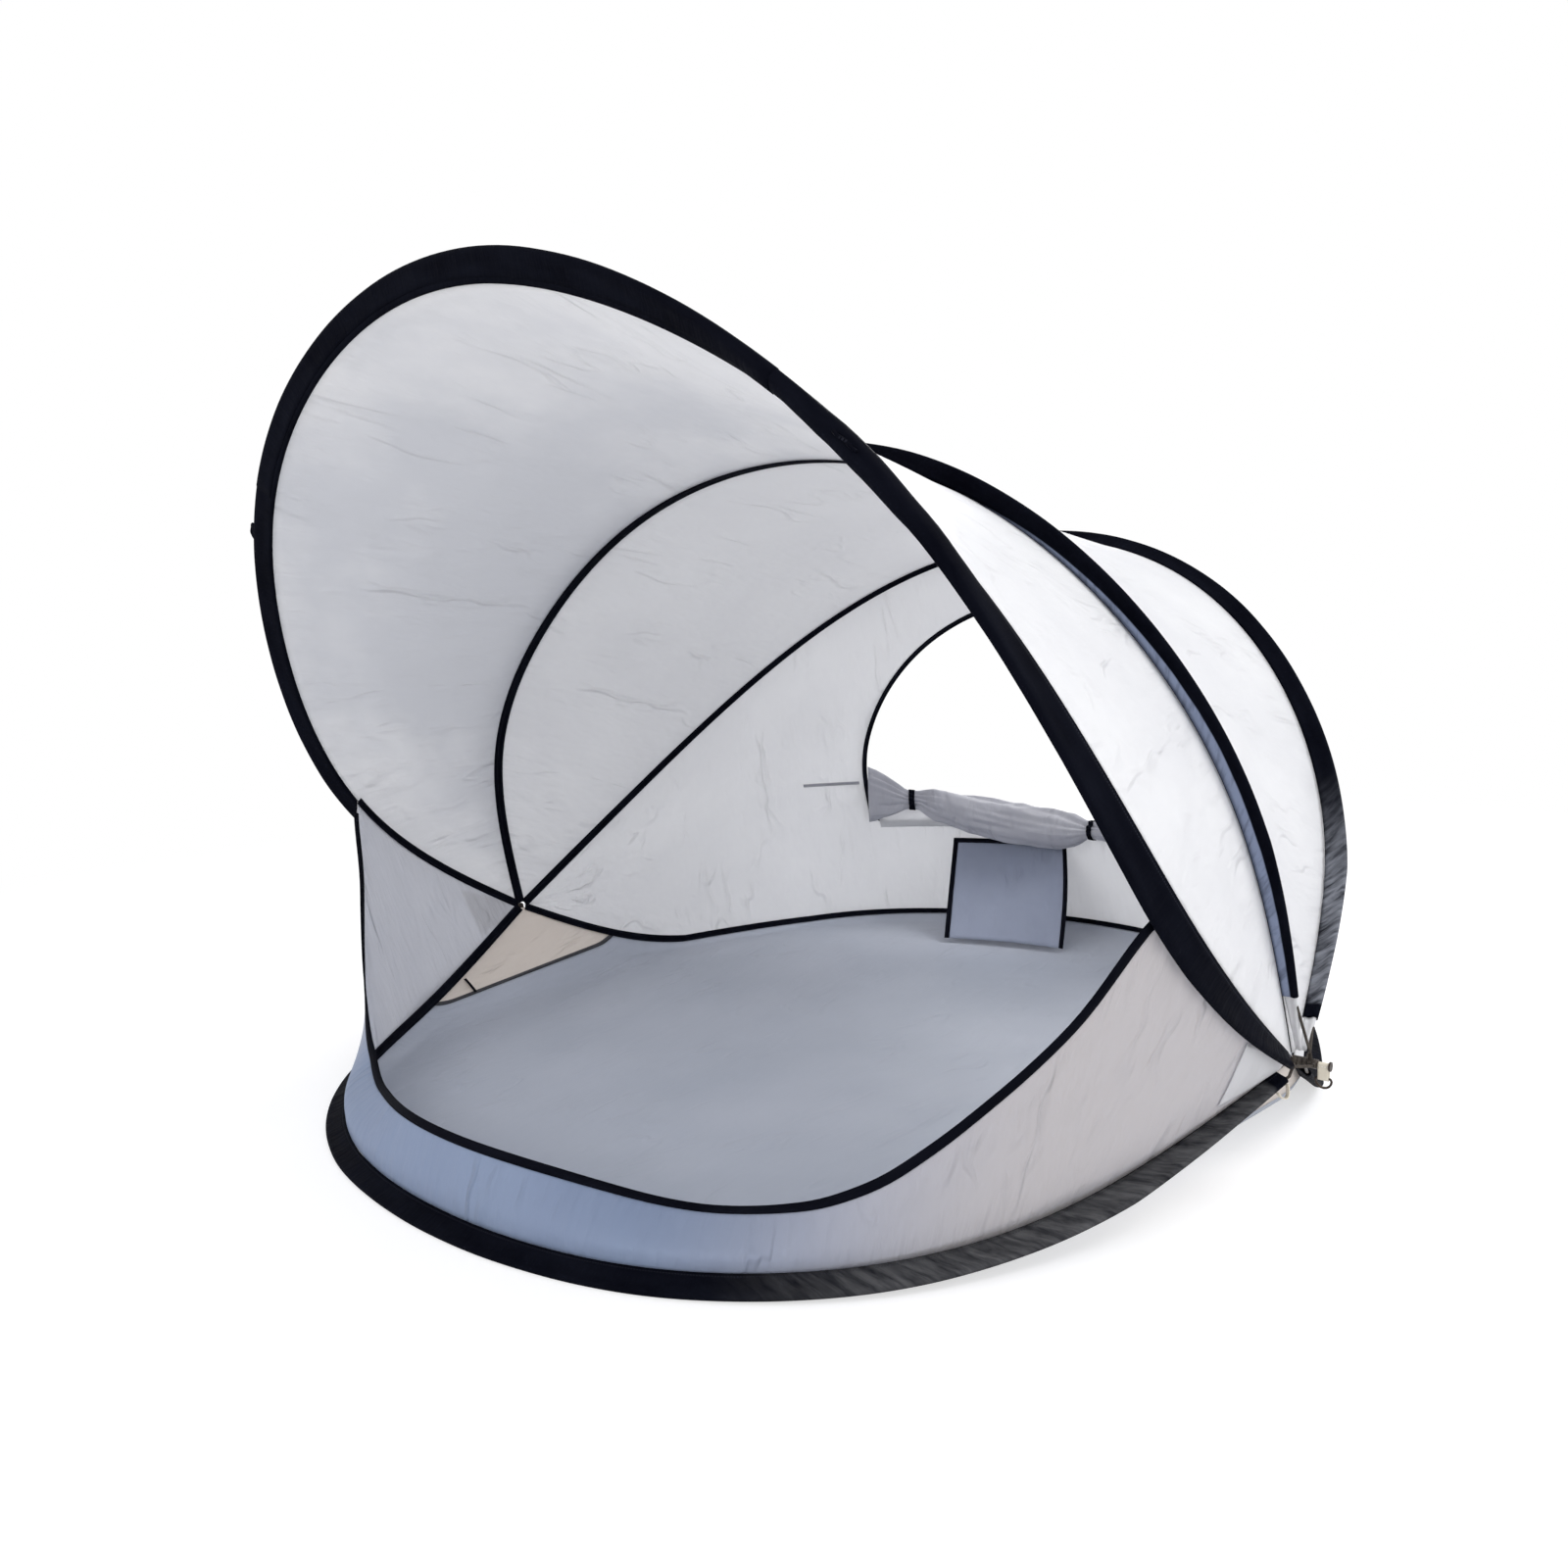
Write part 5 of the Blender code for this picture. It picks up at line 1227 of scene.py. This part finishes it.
def make_patch(side, name):
    """White cloth over the skirt in the corner, outside, that narrows to the front base sleeve."""
    near = np.linspace(PATCH_FROM, PATCH_TO, 29)
    low, high = (
        at_share_of(hoop, towards, from_corner(side, near)) for hoop, towards in (("front_base", 1), ("canopy", -1))
    )
    narrowing = ((near - PATCH_FROM) / (PATCH_TO - PATCH_FROM))[:, None] ** 2
    steps = np.linspace(0.10, 0.80, 17)[None, :]
    steps = steps + (0.05 - 0.10 * steps) * narrowing
    p = push(low[:, None], (high - low)[:, None], steps)
    middle = np.sin(math.pi * np.linspace(0, 1, 17))[None, :]
    p = push(p, normals_of(p), 0.0022 + (0.0012 + 0.0012 * ripple(p, 45.0, 101)) * middle)
    piece = grid("corner_patch_cloth_" + name, p, WHITE)
    thicken(piece, WOVEN)
    bend_between(piece, "front_base", "canopy", steps)
    stand_for(piece, "silver_fabric", "corner_patch_" + name)


STRAP_START = 0.090
STRAP_REACH = 0.22


def make_gusset_strap(side, name):
    """A short dark strap from the base seam to the floor's edge."""
    start = at(hoops["front_base"].edge(-1), from_corner(side, STRAP_START))
    front = at(hoops["front_base"].edge(-1), from_corner(side, OPENING_START))
    rear = at(hoops["rear_base"].edge(1), from_corner(side, GUSSET_REAR))
    end = front + (rear - front) * STRAP_REACH
    end[2] = HALF_CLOTH + (end[2] - HALF_CLOTH) * EDGE_TAUT
    start = start + (end - start) * (0.0160 / np.linalg.norm(end - start))
    across = square_to(np.cross(UP, end - start), unit(end - start))
    steps = np.linspace(0, 1, 17)
    middle = [start + (end - start) * t + UP * (0.0036 + 0.0006 * math.sin(math.pi * t)) for t in steps]
    piece = ribbon("gusset_strap_tape_" + name, middle, across, 0.007, GROUNDSHEET, BINDING)
    bend_floor(piece, np.zeros(len(steps) * RIBBON_COLUMNS))
    stand_for(piece, "grey_fabric", "gusset_strap_" + name)


def make_floor_edge(side, name):
    """The seam between the floor and the gusset, bound in grey."""
    p, _ = ground_lines(from_corner(side, OPENING_START + np.array((-0.0040, -0.0015, 0.0010))), 9, 61)
    p[:, :, 2] += 0.0019
    piece = grid("floor_edge_tape_" + name, np.swapaxes(p, 0, 1), DARK_TAPE)
    bend_floor(piece, fold_weights(p).T)
    thicken(piece, WOVEN)
    stand_for(piece, "grey_fabric")


HEM_START = 0.0045


def make_gathers():
    """The cloth's own white hem, gathered round a hoop between its sleeve's end and the eye."""
    for hoop, far in ((hoops["middle"], 0.036), (hoops["back"], 0.023)):
        for side, name in SIDES:
            inside = stretch_of(*sorted(from_corner(side, share) for share in (HEM_START, far)))
            p = sleeve_section(hoop, 121, grow=-0.0004)[inside]
            tight = np.clip((near_end(SHARES)[inside] - HEM_START) / (far - HEM_START), 0, 1)[:, None, None]
            wire = hoop.out * (hoop.width - SLEEVE_ROUND)[:, None]
            centre = (hoop.seam + wire * 0.9)[inside][:, None]
            p = centre + (p - centre) * (0.42 + 0.50 * tight)
            p = push(p, hoop.side[inside][:, None], ripple(p, 90.0, 122) * 0.0018)
            piece = grid("gathered_hem_%s_%s" % (hoop.name, name), p, WHITE, closed=True)
            thicken(piece, HEM, ONE_SIDE)
            ride(piece, hoop.name, "silver_fabric")


def make_corners():
    for side, name in SIDES:
        for make in (make_webbing, make_peg_loop, make_patch, make_gusset_strap, make_floor_edge):
            make(side, name)


def finish_metal():
    """Wires, eyes, pins and rings keep their CAD shapes and get their own metals."""
    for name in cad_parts:
        material = STEEL if "_wire" in name else BROWN if name.startswith(("corner_pin", "corner_ring")) else None
        if material:
            for slot in bpy.data.objects[name].material_slots:
                slot.material = material


make_sleeves()
make_panel("canopy", "canopy", "middle", 31, CANOPY_WHITE)
make_panel("roof", "middle", "back", 41, WHITE)
make_back_wall()
make_window_binding()
make_skirt()
make_floor()
make_gussets()
make_tapes()
make_roll()
make_flap_hem()
make_strap()
make_pocket()
make_crown()
make_corners()
make_gathers()
finish_metal()

# CAMERA

SENSOR_WIDTH = 36.0
PHOTO_PIXELS = 1600
FOCAL_PIXELS = 1243.8
CAMERA_SHIFT = (-0.0054, 0.0038)
CAMERA_EYE = (1.3156, -1.4912, 0.7234)
CAMERA_TARGET = (-0.2261, 0.2348, 0.4038)
CAMERA_ROLL = -0.045
STAGE_HALF = 14.0
# Name, place, where it points, size and power
LAMPS = (
    ("key", (2.6, 1.6, 3.4), (0, 0, 0.4), 2.0, 80),
    ("back", (-1.9, 3.2, 2.2), (0, 0.4, 0.4), 2.2, 60),
    ("front", (-0.6, -3.4, 1.5), (0, 0.3, 0.2), 2.6, 34),
    ("side", (3.6, -1.6, 1.6), (0.2, 0, 0.4), 1.6, 22),
)


def add_aimed(name, data, eye, target, roll=0.0):
    """A camera or lamp that looks from eye to target."""
    made = bpy.data.objects.new(name, data)
    made.location = eye
    made.rotation_mode = "QUATERNION"
    aim = (Vector(target) - Vector(eye)).to_track_quat("-Z", "Y")
    made.rotation_quaternion = aim @ Quaternion((0, 0, 1), roll)
    bpy.context.scene.collection.objects.link(made)
    return made


def make_camera():
    """The photo's view, with its focal length in pixels of its width."""
    data = bpy.data.cameras.new("camera")
    data.sensor_width = SENSOR_WIDTH
    data.lens = FOCAL_PIXELS * SENSOR_WIDTH / PHOTO_PIXELS
    data.shift_x, data.shift_y = CAMERA_SHIFT
    bpy.context.scene.camera = add_aimed("camera", data, CAMERA_EYE, CAMERA_TARGET, CAMERA_ROLL)


def make_stage():
    """A floor that gives plain light back to the tent, and looks as white as the studio far from it."""
    s = Shade(bpy.data.materials.new("studio_floor"))
    plain = s.value("BsdfDiffuse", {"Color": (0.80, 0.80, 0.81)})
    shaded = s.value("BsdfDiffuse", {"Color": (0.50, 0.50, 0.51)})
    glow, white = (s.value("Emission", {"Color": (1, 1, 1), "Strength": strength}) for strength in (0.58, 1.0))
    far = s.span(s.length(s.node("TexCoord").outputs["Object"]), 1.3, 3.2, smooth_step=True)
    pale = s.mixed(far, s.value("AddShader", {0: shaded, 1: glow}), white)
    s.node("OutputMaterial", {"Surface": s.mixed(s.seen(), plain, pale)})
    corners = np.array([[(x, y, 0.0) for y in (-STAGE_HALF, STAGE_HALF)] for x in (-STAGE_HALF, STAGE_HALF)])
    grid("studio_floor", corners, s.owner)


def make_world():
    world = bpy.data.worlds.new("studio")
    bpy.context.scene.world = world
    s = Shade(world)
    sky = s.value("Background", {0: (0.96, 0.97, 1.0), 1: 0.80})
    white = s.value("Background", {0: (1, 1, 1), 1: 1.0})
    s.node("OutputWorld", {"Surface": s.mixed(s.seen(), sky, white)})


def make_lights():
    for name, place, target, size, power in LAMPS:
        data = bpy.data.lights.new(name, "AREA")
        data.shape = "DISK"
        data.size = size
        data.energy = power
        add_aimed(name, data, place, target)


make_camera()
make_stage()
make_world()
make_lights()
bpy.context.scene.view_settings.view_transform = "Standard"
